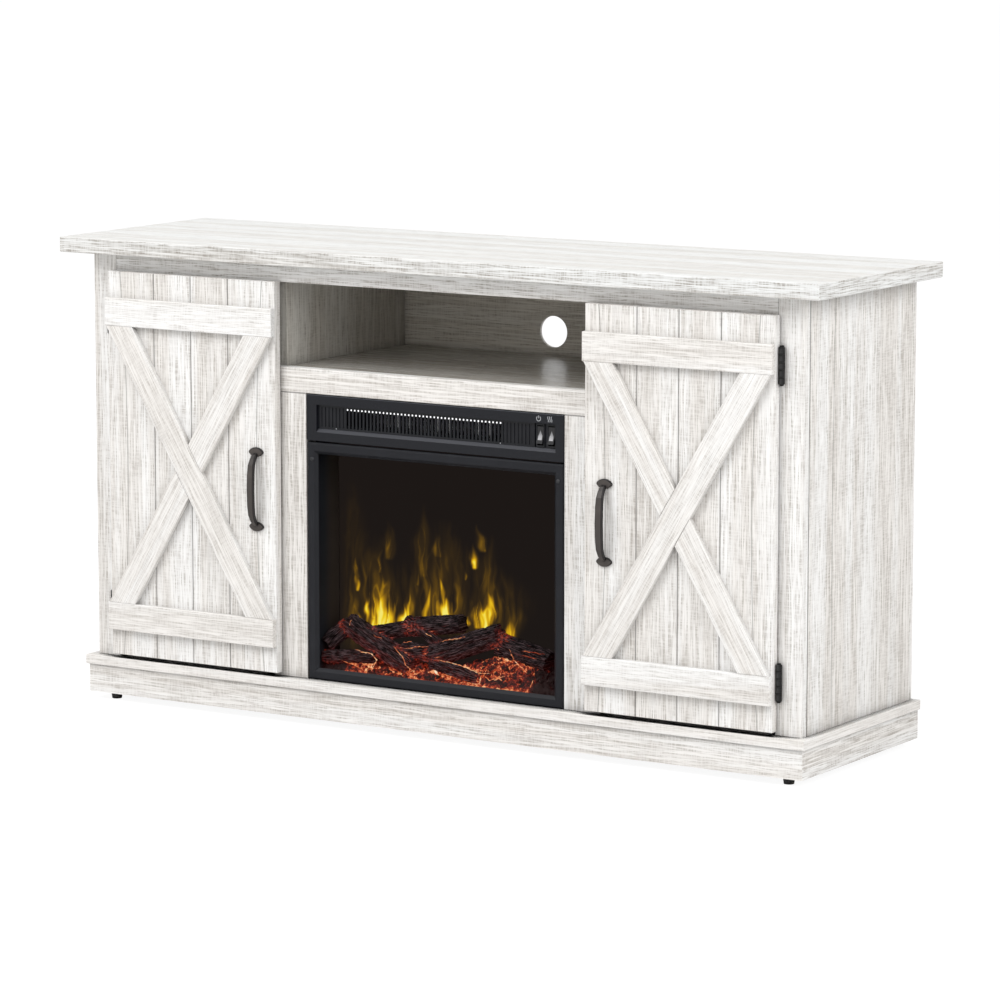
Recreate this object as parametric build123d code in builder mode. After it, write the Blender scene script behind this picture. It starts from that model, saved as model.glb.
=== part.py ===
"""Media console with barn doors and an electric firebox, millimetres, +Z up.

The origin is on the floor, under the middle of the whole console. +X runs to the right along the
front and +Y runs to the back.
"""

import os
from math import cos, pi, radians, sin

from build123d import *

os.makedirs("parts", exist_ok=True)

# Boards
top_width = 1359.0
top_depth = 390.0
top_thickness = 24.0
top_edge_radius = 1.5
board = 15.0
back_board = 5.0
frame_stock = 17.0
eased_edge = 0.8
joint_bevel = 1.2

# Carcass
side_overhang = 41.5
front_overhang = 35.0
stile_width = 43.0
top_rail_height = 28.5
firebox_stile_width = 61.5
shelf_rail_height = 38.5
cubby_height = 131.5
cable_hole_radius = 25.0
cable_hole_rise = 37.0
back_board_inset = 2.0
back_seam = 1.0
center_back_drop = 8.0

# Plinth and feet
bottom_lip = 13.6
bottom_front_lip = 17.0
plinth_height = 45.0
plinth_set_in = 4.0
block_size = 40.0
rear_block_shift = 40.0
foot_height = 12.0
foot_radius = 9.4
foot_tip_radius = 7.8
foot_clear = 0.5

# Adjustable shelves behind the doors
loose_shelf_rise = 316.0
loose_shelf_gap = 1.0
loose_shelf_front_gap = 30.0
loose_shelf_back_gap = 8.0
shelf_pin_radius = 2.5
shelf_pin_reach = 8.0
shelf_pin_clearance = 0.1
shelf_pin_inset = 45.0
pin_row_pitch = 64.0
pin_row_count = 3

# Doors
door_thickness = 15.0
door_drop = 6.5
door_top_gap = 27.5
door_lap = 3.5
door_reach = 0.5
groove_pitch = 71.0
groove_count = 3
groove_width = 3.0
groove_depth = 1.4
batten_width = 44.0
batten_inset = 41.0
batten_thickness = 10.0
brace_foot = 50.0
brace_inset = 2.5
brace_joint = 0.3

# Door pulls
pull_spacing = 117.0
pull_rise = 287.0
pull_inset = 35.0
pull_offset = 17.5
pull_bar_width = 12.0
pull_bar_thickness = 6.5
pull_foot_width = 27.0
pull_foot_height = 15.0
pull_foot_rim = 2.6
pull_foot_depth = 4.0
pull_foot_corners = 16
pull_foot_point = 0.35
pull_facet_width = 1.6
pull_facet_depth = 1.2

# Hinges
hinge_inset = 46.0
knuckle_count = 5
knuckle_length = 10.8
knuckle_gap = 0.3
barrel_radius = 4.75
barrel_edge_gap = 0.3
barrel_face_gap = 0.6
leaf = 1.1
leaf_gap = 0.3
door_leaf_width = 26.0
hinge_pin_radius = 1.8
hinge_pin_clearance = 0.05
finial_radius = 3.2
finial_height = 2.8
finial_rim = 1.0

# Magnetic catches
catch_rise = 388.0
catch_height = 46.0
catch_width = 12.0
catch_depth = 16.0
catch_ear = 28.0
catch_ear_thickness = 2.0
strike_thickness = 1.4
strike_gap = 0.3

# Firebox insert
insert_width = 464.0
insert_gap = 1.5
insert_depth = 215.0
sheet = 1.5
shell_set_in = 10.0
shell_top_gap = 2.0

# Window
window_frame_height = 372.0
window_member = 18.0
window_bevel = 5.0
window_edge = 2.5
glass_thickness = 4.0
glass_lap = 5.5
glass_gap = 0.3
sight_edge = 1.0

# Outlet bezel and grille
bezel_gap = 2.5
bezel_floor = 3.0
recess_left_margin = 18.0
recess_right_margin = 14.0
recess_bottom = 14.0
recess_top = 15.0
recess_lip = 5.0
grille_thickness = 2.5
grille_gap = 0.3
grille_end = 2.3
slot_width = 3.4
slot_pitch = 6.6
slot_margin = 3.0
slot_end_margin = 6.0
air_window_margin = 9.0
air_window_rise = 6.0

# Rocker switches
switch_end = 10.0
switch_pitch = 19.7
switch_flange = 2.0
switch_lip_width = 0.5
switch_lip_height = 1.2
switch_clear = 1.25
switch_body_depth = 21.0
switch_wall = 1.2
switch_pocket_depth = 11.0
rocker_width = 10.5
rocker_height = 26.0
rocker_gap = 0.35
rocker_swing = 2.1
rocker_tilt = 9.5
rocker_crown = 4.2
rocker_valley = 2.0
rocker_back = 4.0
rocker_pivot_depth = 2.4
pivot_radius = 1.2
pivot_reach = 0.7
pivot_clearance = 0.05

# Fire
screen_depth = 70.0
screen_thickness = 3.0
fire_gap = 1.0
bed_glass_gap = 2.0
bed_screen_gap = 2.0
bed_front_height = 10.5
bed_back_height = 30.5
bed_wall = 2.5
bed_side_gap = 2.5
lamp_board = 1.6
lamp_board_rise = 4.0
lamp_board_end_gap = 23.0
lamp_board_front_gap = 8.0
lamp_board_back_gap = 10.0
lamp_count = 12
lamp_size = 4.0
lamp_height = 1.2

# Flicker rod
rod_screen_gap = 11.0
rod_rise = 36.0
rod_radius = 3.0
rod_clearance = 0.05
rod_flag_reach = 16.0
rod_flag_length = 24.0
rod_flag_pitch = 27.0
rod_flag_thickness = 0.8
rod_end_gap = 5.0
rod_collar_radius = 6.0
rod_collar = 4.0
flame_motor_radius = 24.0
flame_motor_length = 18.0
flame_motor_boss = 6.0

# Blower and heater
blower_depth = 95.0
blower_rise = 36.0
blower_length = 240.0
wheel_radius = 20.0
wheel_gap = 3.0
wheel_end_gap = 3.0
blade_count = 16
blade_width = 6.5
blade_thickness = 1.2
blade_pitch_angle = 35.0
wheel_disc = 1.5
wheel_disc_count = 3
blower_shaft_radius = 2.5
blower_shaft_clearance = 0.05
duct_height = 34.0
duct_front = 13.0
blower_motor_radius = 19.0
blower_motor_length = 44.0
shaft_in_motor = 26.0
heater_depth = 20.0
heater_front = 22.0
heater_rail = 3.0
fin_count = 24
fin_thickness = 1.0

# Rear cover, gland and brackets
louvre_length = 84.0
louvre_height = 5.0
louvre_rows = 4
louvre_columns = 2
louvre_pitch = 12.0
louvre_column_pitch = 150.0
gland_x = 150.0
gland_rise = 33.0
gland_hole_radius = 8.0
gland_neck_gap = 0.2
gland_bore_radius = 3.8
gland_flange_radius = 11.5
gland_flange = 4.0
bracket_length = 40.0
bracket_leg = 30.0
bracket_sheet = 2.0
bracket_back_gap = 25.0

# Switches and the face of the insert, worked out from the rocker outwards
face_depth = window_bevel + glass_thickness + sight_edge
recess_depth = face_depth - bezel_floor
pocket_half = rocker_height / 2 + rocker_swing
switch_body_width = rocker_width + 2 * (rocker_gap + switch_wall)
switch_body_height = 2 * (pocket_half + switch_wall)
switch_flange_width = switch_body_width + 2 * switch_lip_width
switch_flange_height = switch_body_height + 2 * switch_lip_height
recess_height = recess_lip + switch_flange_height + 2 * switch_clear
bezel_height = recess_bottom + recess_height + recess_top
insert_height = window_frame_height + bezel_gap + bezel_height

# Heights, worked out upwards from the floor
plinth_bottom = foot_height
plinth_top = plinth_bottom + plinth_height
floor_top = plinth_top + board
shelf_rail_bottom = floor_top + insert_height + insert_gap
shelf_top = shelf_rail_bottom + shelf_rail_height
top_rail_bottom = shelf_top + cubby_height
carcass_top = top_rail_bottom + top_rail_height
overall_height = carcass_top + top_thickness

# Depths: the pulls reach furthest forward, and the box that holds everything is centred on Y = 0
door_gap = 2 * leaf + leaf_gap
pull_reach = pull_offset + pull_bar_thickness / 2
front_reach = max(front_overhang, door_gap + door_thickness + pull_reach)
back_reach = top_depth - front_overhang
face_y = (front_reach - back_reach) / 2
back_y = face_y + back_reach
frame_back = face_y + frame_stock
board_back = back_y - back_board
door_back = face_y - door_gap
door_front = door_back - door_thickness

# Widths, worked out from the firebox outwards
half_insert = insert_width / 2
firebox_opening = half_insert + insert_gap
partition_outer = firebox_opening + firebox_stile_width
half_bay = partition_outer - board
half_width = top_width / 2 - side_overhang
half_opening = half_width - stile_width
side_inner = half_width - board
door_outer = half_opening + door_lap
door_inner = half_bay - door_reach
door_width = door_outer - door_inner
door_middle = (door_outer + door_inner) / 2
door_bottom = floor_top + door_drop
door_top = carcass_top - door_top_gap

SIDES = ((-1, "left"), (1, "right"))


def save(piece, label):
    """Label a finished piece and write it to its own file."""
    piece.part.label = label
    export_step(piece.part, f"parts/{label}.step")


def slab(x_span, y_span, z_span, mode=Mode.ADD):
    """A rectangular block between three pairs of planes, made in the current part."""
    spans = (x_span, y_span, z_span)
    middle = tuple((low + high) / 2 for low, high in spans)
    with Locations(middle):
        Box(*[high - low for low, high in spans], mode=mode)


def across(side, near, far):
    """A span of X on one side of the middle, lowest value first."""
    return tuple(sorted((side * near, side * far)))


def front_plane(y):
    """A sketch plane that faces the front: X to the right, Z up."""
    return Plane.XZ.offset(-y)


def board_piece(x_span, y_span, z_span, edge=0.0):
    """A sawn board, with its front edges eased."""
    with BuildPart() as piece:
        slab(x_span, y_span, z_span)
        if edge:
            chamfer(piece.faces().sort_by(Axis.Y)[0].edges(), edge)
    return piece


# Top board, with rounded corners and edges
with BuildPart() as top_panel:
    top_y = (back_y - top_depth, back_y)
    slab((-top_width / 2, top_width / 2), top_y, (carcass_top, overall_height))
    front_edges = top_panel.edges().filter_by(Axis.X).group_by(Axis.Y)[0]
    end_edges = top_panel.edges().filter_by(Axis.Y)
    corners = top_panel.edges().filter_by(Axis.Z).group_by(Axis.Y)[0]
    fillet(front_edges + end_edges + corners, top_edge_radius)
save(top_panel, "top_panel")

# Bottom board, whose edge is the lip above the plinth
half_bottom = half_width + bottom_lip
with BuildPart() as bottom_panel:
    slab((-half_bottom, half_bottom), (face_y - bottom_front_lip, back_y), (plinth_top, floor_top))
    lip_edges = bottom_panel.edges().filter_by(Axis.X).group_by(Axis.Y)[0]
    lip_ends = bottom_panel.edges().filter_by(Axis.Y)
    chamfer(lip_edges + lip_ends, eased_edge)
save(bottom_panel, "bottom_panel")

# Rows of blind pin holes for the adjustable shelves
loose_shelf_bottom = floor_top + loose_shelf_rise
pin_height = loose_shelf_bottom - shelf_pin_radius
pin_rows = [pin_height + (row - pin_row_count // 2) * pin_row_pitch for row in range(pin_row_count)]
shelf_front = face_y + loose_shelf_front_gap
shelf_back = board_back - loose_shelf_back_gap
pin_lines = (shelf_front + shelf_pin_inset, shelf_back - shelf_pin_inset)


def drill_pin_holes(face_x, inward):
    """Blind holes in the current panel, from the face at face_x, drilled along inward."""
    for height in pin_rows:
        for y in pin_lines:
            with Locations((face_x + inward * shelf_pin_reach / 2, y, height)):
                Cylinder(
                    shelf_pin_radius + shelf_pin_clearance,
                    shelf_pin_reach,
                    rotation=(0, 90, 0),
                    mode=Mode.SUBTRACT,
                )


carcass_z = (floor_top, carcass_top)
panel_y = (frame_back, board_back)

for side, word in SIDES:
    # Outer side panel
    with BuildPart() as side_panel:
        slab(across(side, side_inner, half_width), panel_y, carcass_z)
        front_corners = side_panel.edges().filter_by(Axis.Z).group_by(Axis.Y)[0].sort_by(Axis.X)
        chamfer(front_corners[-1 if side > 0 else 0], joint_bevel)
        drill_pin_holes(side * side_inner, side)
    save(side_panel, f"side_panel_{word}")

    # Upright between the cubby and the door compartment
    with BuildPart() as partition:
        slab(across(side, half_bay, partition_outer), panel_y, carcass_z)
        drill_pin_holes(side * partition_outer, -side)
    save(partition, f"partition_{word}")

    # Face frame uprights
    frame_y = (face_y, frame_back)
    with BuildPart() as outer_stile:
        slab(across(side, half_opening, half_width), frame_y, carcass_z)
        chamfer(outer_stile.faces().sort_by(Axis.Y)[0].edges(), eased_edge)
        rear_corners = outer_stile.edges().filter_by(Axis.Z).group_by(Axis.Y)[-1].sort_by(Axis.X)
        chamfer(rear_corners[-1 if side > 0 else 0], joint_bevel)
    save(outer_stile, f"front_stile_{word}")
    inner_x = across(side, firebox_opening, partition_outer)
    inner_stile = board_piece(inner_x, frame_y, (floor_top, shelf_rail_bottom), eased_edge)
    save(inner_stile, f"firebox_stile_{word}")

    # Back board behind each door compartment
    back_x = across(side, (half_bay + partition_outer + back_seam) / 2, half_width - back_board_inset)
    save(board_piece(back_x, (board_back, back_y), carcass_z), f"back_panel_{word}")

# Face frame rails
rail_y = (face_y, frame_back)
top_rail = board_piece((-half_opening, half_opening), rail_y, (top_rail_bottom, carcass_top), eased_edge)
save(top_rail, "top_rail")
rail_x = (-partition_outer, partition_outer)
shelf_front_rail = board_piece(rail_x, rail_y, (shelf_rail_bottom, shelf_top), eased_edge)
save(shelf_front_rail, "shelf_front_rail")

# Cubby floor
media_shelf = board_piece((-half_bay, half_bay), panel_y, (shelf_top - board, shelf_top))
save(media_shelf, "media_shelf")

# Back board of the cubby, with the cable hole
with BuildPart() as back_panel_center:
    center_half = (half_bay + partition_outer - back_seam) / 2
    center_bottom = shelf_top - board - center_back_drop
    slab((-center_half, center_half), (board_back, back_y), (center_bottom, carcass_top))
    with Locations((0, (board_back + back_y) / 2, shelf_top + cable_hole_rise)):
        Cylinder(cable_hole_radius, back_board, rotation=(90, 0, 0), mode=Mode.SUBTRACT)
save(back_panel_center, "back_panel_center")

# Plinth: boards set in under the lip, mitred at the front corners
plinth_x = half_bottom - plinth_set_in
plinth_front = face_y - bottom_front_lip + plinth_set_in
plinth_inner = plinth_x - board
plinth_z = plinth_top - plinth_bottom

with BuildPart() as base_front:
    with BuildSketch(Plane.XY.offset(plinth_bottom)):
        with BuildLine():
            Polyline(
                (-plinth_x, plinth_front),
                (plinth_x, plinth_front),
                (plinth_inner, plinth_front + board),
                (-plinth_inner, plinth_front + board),
                close=True,
            )
        make_face()
    extrude(amount=plinth_z)
save(base_front, "base_front")

with BuildPart() as base_sides:
    with BuildSketch(Plane.XY.offset(plinth_bottom)):
        with BuildLine():
            Polyline(
                (plinth_x, plinth_front),
                (plinth_x, back_y),
                (plinth_inner, back_y),
                (plinth_inner, plinth_front + board),
                close=True,
            )
        make_face()
    extrude(amount=plinth_z)
    mirror(about=Plane.YZ)
save(base_sides, "base_sides")

rear_x = (-plinth_inner, plinth_inner)
base_rear = board_piece(rear_x, (back_y - board, back_y), (plinth_bottom, plinth_top))
save(base_rear, "base_rear")

# Glue blocks in the plinth, and the tapered glides under them
block_front = plinth_front + board + block_size / 2
block_back = back_y - board - block_size / 2
block_x = plinth_inner - block_size / 2
rear_block_x = block_x - rear_block_shift
block_places = [(-block_x, block_front), (block_x, block_front)]
block_places += [(-rear_block_x, block_back), (rear_block_x, block_back)]
block_places.append((0, (block_front + block_back) / 2))
with BuildPart() as base_blocks:
    with BuildSketch(Plane.XY.offset(plinth_bottom)):
        with Locations(*block_places):
            Rectangle(block_size, block_size)
    extrude(amount=plinth_z)
save(base_blocks, "base_blocks")

foot_shift = block_size / 2 - foot_radius - foot_clear
with BuildPart() as feet:
    for x, y in block_places:
        outward = (y == block_back) - (y == block_front)
        with Locations((x, y + outward * foot_shift, foot_height / 2)):
            Cone(foot_tip_radius, foot_radius, foot_height)
save(feet, "feet")

# Adjustable shelves and the pins that carry them
with BuildPart() as cabinet_shelves:
    for side, word in SIDES:
        shelf_x = across(side, partition_outer + loose_shelf_gap, side_inner - loose_shelf_gap)
        shelf_z = (loose_shelf_bottom, loose_shelf_bottom + board)
        slab(shelf_x, (shelf_front, shelf_back), shelf_z)
save(cabinet_shelves, "cabinet_shelves")

with BuildPart() as shelf_pins:
    for side, word in SIDES:
        for wall_x in (partition_outer, side_inner):
            for y in pin_lines:
                with Locations((side * wall_x, y, pin_height)):
                    Cylinder(shelf_pin_radius, 2 * shelf_pin_reach, rotation=(0, 90, 0))
save(shelf_pins, "shelf_pins")

# Hinges: the axis stands in the corner between the door's edge and the stile's face
axis_x = door_outer + barrel_edge_gap + barrel_radius
axis_y = face_y - barrel_face_gap - barrel_radius
barrel_height = knuckle_count * knuckle_length
hinge_bottoms = (door_bottom + hinge_inset, door_top - hinge_inset - barrel_height)
knuckle_bore = hinge_pin_radius + hinge_pin_clearance
clear_of_barrel = barrel_radius + barrel_edge_gap


def knuckle_spans(bottom, first):
    """Heights of every second knuckle of a hinge, each a little short of its pitch."""
    spans = []
    for index in range(first, knuckle_count, 2):
        low = bottom + index * knuckle_length + knuckle_gap / 2
        spans.append((low, low + knuckle_length - knuckle_gap))
    return spans


def knuckle(side, z_span, leaf_y):
    """One rolled knuckle and the strip of leaf that it is rolled from."""
    low, high = z_span
    slab(across(side, axis_x - clear_of_barrel, axis_x), leaf_y, z_span)
    with Locations((side * axis_x, axis_y, (low + high) / 2)):
        Cylinder(barrel_radius, high - low)
        Cylinder(knuckle_bore, high - low, mode=Mode.SUBTRACT)


frame_leaf_y = (face_y - leaf, face_y)
door_leaf_y = (door_back, door_back + leaf)

with BuildPart() as hinge_frame_leaves:
    for side, word in SIDES:
        for bottom in hinge_bottoms:
            plate_z = (bottom + knuckle_gap / 2, bottom + barrel_height - knuckle_gap / 2)
            wrap_x = half_opening - leaf
            slab(across(side, wrap_x, axis_x - clear_of_barrel), frame_leaf_y, plate_z)
            slab(across(side, wrap_x, half_opening), (face_y, frame_back), plate_z)
            for z_span in knuckle_spans(bottom, 0):
                knuckle(side, z_span, frame_leaf_y)
save(hinge_frame_leaves, "hinge_frame_leaves")

with BuildPart() as hinge_pins:
    for side, word in SIDES:
        for bottom in hinge_bottoms:
            top = bottom + barrel_height
            pin_plane = Plane(
                origin=(side * axis_x, axis_y, (bottom + top) / 2),
                x_dir=(1, 0, 0),
                z_dir=(0, -1, 0),
            )
            half = barrel_height / 2 - knuckle_gap / 2
            crown = half + finial_height
            with BuildSketch(pin_plane):
                with BuildLine():
                    Polyline(
                        (0, -crown),
                        (finial_radius - finial_rim, -crown),
                        (finial_radius, -crown + finial_rim),
                        (finial_radius, -half),
                        (hinge_pin_radius, -half),
                        (hinge_pin_radius, half),
                        (finial_radius, half),
                        (finial_radius, crown - finial_rim),
                        (finial_radius - finial_rim, crown),
                        (0, crown),
                        close=True,
                    )
                make_face()
            revolve(axis=Axis((side * axis_x, axis_y, 0), (0, 0, 1)))
save(hinge_pins, "hinge_pins")

# Magnetic catches, screwed to the partitions behind the doors
catch_bottom = floor_top + catch_rise
catch_front = door_back + strike_thickness + strike_gap
catch_z = (catch_bottom, catch_bottom + catch_height)
with BuildPart() as magnetic_catches:
    for side, word in SIDES:
        head_x = across(side, partition_outer, partition_outer + catch_width)
        ear_x = across(side, partition_outer, partition_outer + catch_ear_thickness)
        head_back = catch_front + catch_depth
        slab(head_x, (catch_front, head_back), catch_z)
        slab(ear_x, (head_back, head_back + catch_ear), catch_z)
save(magnetic_catches, "magnetic_catches")


# Doors
batten_spans = (
    (door_bottom + batten_inset, door_bottom + batten_inset + batten_width),
    (door_top - batten_inset - batten_width, door_top - batten_inset),
)
batten_front = door_front - batten_thickness
brace_low = batten_spans[0][1]
brace_high = batten_spans[1][0]
brace_reach = door_width / 2 - brace_inset


def brace_outline(center_x, slope, gap=0.0):
    """Corners of a bar from corner to corner, cut level at its ends; slope 1 rises to the right."""
    middle = (brace_low + brace_high) / 2
    rise = (brace_high - brace_low) / 2
    lean = slope * (brace_reach - brace_foot / 2)
    half = brace_foot / 2 + gap
    return (
        (center_x - lean - half, middle - rise),
        (center_x - lean + half, middle - rise),
        (center_x + lean + half, middle + rise),
        (center_x + lean - half, middle + rise),
    )


def pointed_oval(center, width, height):
    """Corners of an oval foot, drawn out a little to a point at its two ends."""
    corners = []
    for index in range(pull_foot_corners):
        angle = 2 * pi * index / pull_foot_corners
        rise = sin(angle) * abs(sin(angle)) ** pull_foot_point
        corners.append((center[0] + width / 2 * cos(angle), center[1] + height / 2 * rise))
    return corners


# Half of a pull's bar, middle first: shares of the half spacing, the offset and the bar's width
BOW = ((0.0, 1.0, 1.0), (0.40, 0.95, 0.98), (0.66, 0.84, 0.91), (0.81, 0.60, 0.80), (0.90, 0.36, 0.74))
neck_share = 0.94
neck_width_share = 0.72


def bar_corners(width):
    """Corners of one eight-sided section of a pull's bar."""
    wide, thick = width / 2, pull_bar_thickness / 2
    flat, side_flat = wide - pull_facet_width, thick - pull_facet_depth
    corners = [(wide, side_flat), (flat, thick), (-flat, thick), (-wide, side_flat)]
    return corners + [(-x, -y) for x, y in corners]


def bow_sections(half):
    """Sections of a pull's bar from one foot to the other: rise, stand-off, heading and width of each."""
    bow = [(half * rise, pull_offset * out, pull_bar_width * width) for rise, out, width in BOW]
    neck = (neck_share * half, pull_foot_rim, neck_width_share * pull_bar_width)
    half_bar = [*bow, neck]
    bar = [(-rise, out, width) for rise, out, width in reversed(half_bar[1:])] + half_bar
    sections = [(*bar[0][:2], (0, -1, 0), bar[0][2])]
    for before, here, after in zip(bar, bar[1:], bar[2:]):
        sections.append((*here[:2], (0, before[1] - after[1], after[0] - before[0]), here[2]))
    return sections + [(*bar[-1][:2], (0, 1, 0), bar[-1][2])]


def bow_pull(middle_x, middle_z):
    """A bow pull: two oval feet, and a faceted bar that bows out between them and widens in the middle."""
    half = pull_spacing / 2
    shrink = 2 * (pull_foot_depth - pull_foot_rim)
    with BuildPart() as pull:
        for rise, out, heading, width in bow_sections(half):
            place = (middle_x, door_front - out, middle_z + rise)
            with BuildSketch(Plane(origin=place, x_dir=(1, 0, 0), z_dir=heading)):
                Polygon(*bar_corners(width), align=None)
        loft(ruled=True)
        for end in (-1, 1):
            foot = (middle_x, middle_z + end * half)
            for out, cut in ((0.0, 0.0), (pull_foot_rim, 0.0), (pull_foot_depth, shrink)):
                with BuildSketch(front_plane(door_front - out)):
                    Polygon(*pointed_oval(foot, pull_foot_width - cut, pull_foot_height - cut), align=None)
            loft(ruled=True)
    return pull


for side, word in SIDES:
    door_x = across(side, door_inner, door_outer)
    center_x = side * door_middle

    # Plank door with V grooves down its face
    with BuildPart() as door_panel:
        slab(door_x, (door_front, door_back), (door_bottom, door_top))
        chamfer(door_panel.faces().sort_by(Axis.Y)[0].edges(), eased_edge)
        with BuildSketch(Plane.XY.offset(door_bottom)):
            for index in range(groove_count):
                groove_x = center_x + (index - (groove_count - 1) / 2) * groove_pitch
                with BuildLine():
                    Polyline(
                        (groove_x - groove_width / 2, door_front),
                        (groove_x + groove_width / 2, door_front),
                        (groove_x, door_front + groove_depth),
                        close=True,
                    )
                make_face()
        extrude(amount=door_top - door_bottom, mode=Mode.SUBTRACT)
    save(door_panel, f"door_panel_{word}")

    # Cross battens
    with BuildPart() as door_battens:
        for z_span in batten_spans:
            slab(door_x, (batten_front, door_front), z_span)
        chamfer(door_battens.faces().filter_by(Axis.Y).group_by(Axis.Y)[0].edges(), eased_edge)
    save(door_battens, f"door_battens_{word}")

    # One long diagonal, and two short ones that stop against it
    with BuildPart() as door_braces:
        with BuildSketch(front_plane(door_front)):
            Polygon(*brace_outline(center_x, side), align=None)
        extrude(amount=batten_thickness)
        with BuildSketch(front_plane(door_front)):
            Polygon(*brace_outline(center_x, -side), align=None)
            Polygon(*brace_outline(center_x, side, brace_joint), align=None, mode=Mode.SUBTRACT)
        extrude(amount=batten_thickness)
        chamfer(door_braces.faces().filter_by(Axis.Y).group_by(Axis.Y)[0].edges(), eased_edge)
    save(door_braces, f"door_braces_{word}")

    # Pull
    handle = bow_pull(side * (door_inner + pull_inset), door_bottom + pull_rise)
    save(handle, f"handle_{word}")

    # Door half of the two hinges
    with BuildPart() as hinge_door_leaves:
        for bottom in hinge_bottoms:
            plate_z = (bottom + knuckle_gap / 2, bottom + barrel_height - knuckle_gap / 2)
            plate_end = axis_x - clear_of_barrel
            slab(across(side, plate_end - door_leaf_width, plate_end), door_leaf_y, plate_z)
            for z_span in knuckle_spans(bottom, 1):
                knuckle(side, z_span, door_leaf_y)
    save(hinge_door_leaves, f"hinge_door_leaves_{word}")

    # Strike plate for the magnetic catch
    strike_x = across(side, partition_outer, partition_outer + catch_width)
    strike_y = (door_back, door_back + strike_thickness)
    save(board_piece(strike_x, strike_y, catch_z), f"strike_plate_{word}")


# Firebox insert: depths are measured back from the face
insert_top = floor_top + insert_height
half_shell = half_insert - shell_set_in
shell_inner = half_shell - sheet
shell_front = face_y + face_depth
shell_back = face_y + insert_depth
shell_floor = floor_top + sheet
shell_top = insert_top - shell_top_gap
window_top = floor_top + window_frame_height
bezel_bottom = window_top + bezel_gap
deck_bottom = bezel_bottom
deck_top = deck_bottom + sheet
rod_y = face_y + screen_depth + screen_thickness + rod_screen_gap + rod_flag_reach
rod_z = floor_top + rod_rise
hollow = rod_radius + rod_clearance

# Folded sheet wrap: floor, sides and top in one, with a formed collar for the flicker rod
with BuildPart() as firebox_wrap:
    wrap_length = shell_back - sheet - shell_front
    with BuildSketch(front_plane(shell_front)):
        with Locations((0, (floor_top + shell_top) / 2)):
            Rectangle(2 * half_shell, shell_top - floor_top)
            Rectangle(2 * shell_inner, shell_top - floor_top - 2 * sheet, mode=Mode.SUBTRACT)
    extrude(amount=-wrap_length)
    with Locations((-shell_inner + rod_collar / 2, rod_y, rod_z)):
        Cylinder(rod_collar_radius, rod_collar, rotation=(0, 90, 0))
    with Locations((-half_shell + (rod_collar + sheet) / 2, rod_y, rod_z)):
        Cylinder(hollow, rod_collar + sheet, rotation=(0, 90, 0), mode=Mode.SUBTRACT)
save(firebox_wrap, "firebox_wrap")

# Rear cover with intake louvres and the hole for the cord gland
gland_z = floor_top + gland_rise
louvre_middle = (deck_top + shell_top) / 2
with BuildPart() as firebox_back:
    with BuildSketch(front_plane(shell_back - sheet)):
        with Locations((0, (floor_top + shell_top) / 2)):
            Rectangle(2 * half_shell, shell_top - floor_top)
        with Locations((0, louvre_middle)):
            with GridLocations(louvre_column_pitch, louvre_pitch, louvre_columns, louvre_rows):
                Rectangle(louvre_length, louvre_height, mode=Mode.SUBTRACT)
        with Locations((gland_x, gland_z)):
            Circle(gland_hole_radius, mode=Mode.SUBTRACT)
    extrude(amount=-sheet)
save(firebox_back, "firebox_back")

# Rubber gland, gripping the rear cover between two flanges
with BuildPart() as cord_gland:
    gland_neck = gland_hole_radius - gland_neck_gap
    for y, length, radius in (
        (shell_back + gland_flange / 2, gland_flange, gland_flange_radius),
        (shell_back - sheet / 2, sheet, gland_neck),
        (shell_back - sheet - gland_flange / 2, gland_flange, gland_flange_radius),
    ):
        with Locations((gland_x, y, gland_z)):
            Cylinder(radius, length, rotation=(90, 0, 0))
    outer_rim = cord_gland.edges().filter_by(GeomType.CIRCLE).group_by(Axis.Y)[-1]
    chamfer(outer_rim, gland_flange / 2)
    with Locations((gland_x, shell_back - sheet / 2, gland_z)):
        Cylinder(gland_bore_radius, 2 * gland_flange + sheet, rotation=(90, 0, 0), mode=Mode.SUBTRACT)
save(cord_gland, "cord_gland")

# Deck between the fire and the heater
deck_y = (shell_front + sheet, shell_back - sheet)
heater_deck = board_piece((-shell_inner, shell_inner), deck_y, (deck_bottom, deck_top))
save(heater_deck, "heater_deck")

# Angles that hold the shell down to the bottom board
with BuildPart() as insert_brackets:
    bracket_back = shell_back - bracket_back_gap
    bracket_y = (bracket_back - bracket_length, bracket_back)
    for side, word in SIDES:
        flat_x = across(side, half_shell, half_shell + bracket_leg)
        stand_x = across(side, half_shell, half_shell + bracket_sheet)
        slab(flat_x, bracket_y, (floor_top, floor_top + bracket_sheet))
        slab(stand_x, bracket_y, (floor_top, floor_top + bracket_leg))
save(insert_brackets, "insert_brackets")

# Window frame: bevelled inside, eased outside, rebated behind for the glass
window_middle = (floor_top + window_top) / 2
sight_width = insert_width - 2 * window_member
sight_height = window_frame_height - 2 * window_member
with BuildPart() as window_frame:
    with BuildSketch(front_plane(face_y)):
        with Locations((0, window_middle)):
            Rectangle(insert_width, window_frame_height)
            Rectangle(sight_width, sight_height, mode=Mode.SUBTRACT)
    extrude(amount=-face_depth)
    front_face = window_frame.faces().filter_by(Axis.Y).sort_by(Axis.Y)[0]
    chamfer(front_face.inner_wires().edges(), window_bevel)
    front_face = window_frame.faces().filter_by(Axis.Y).sort_by(Axis.Y)[0]
    chamfer(front_face.outer_wire().edges(), window_edge)
    with BuildSketch(front_plane(face_y + face_depth)):
        with Locations((0, window_middle)):
            Rectangle(sight_width + 2 * glass_lap, sight_height + 2 * glass_lap)
    extrude(amount=glass_thickness, mode=Mode.SUBTRACT)
save(window_frame, "window_frame")

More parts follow.
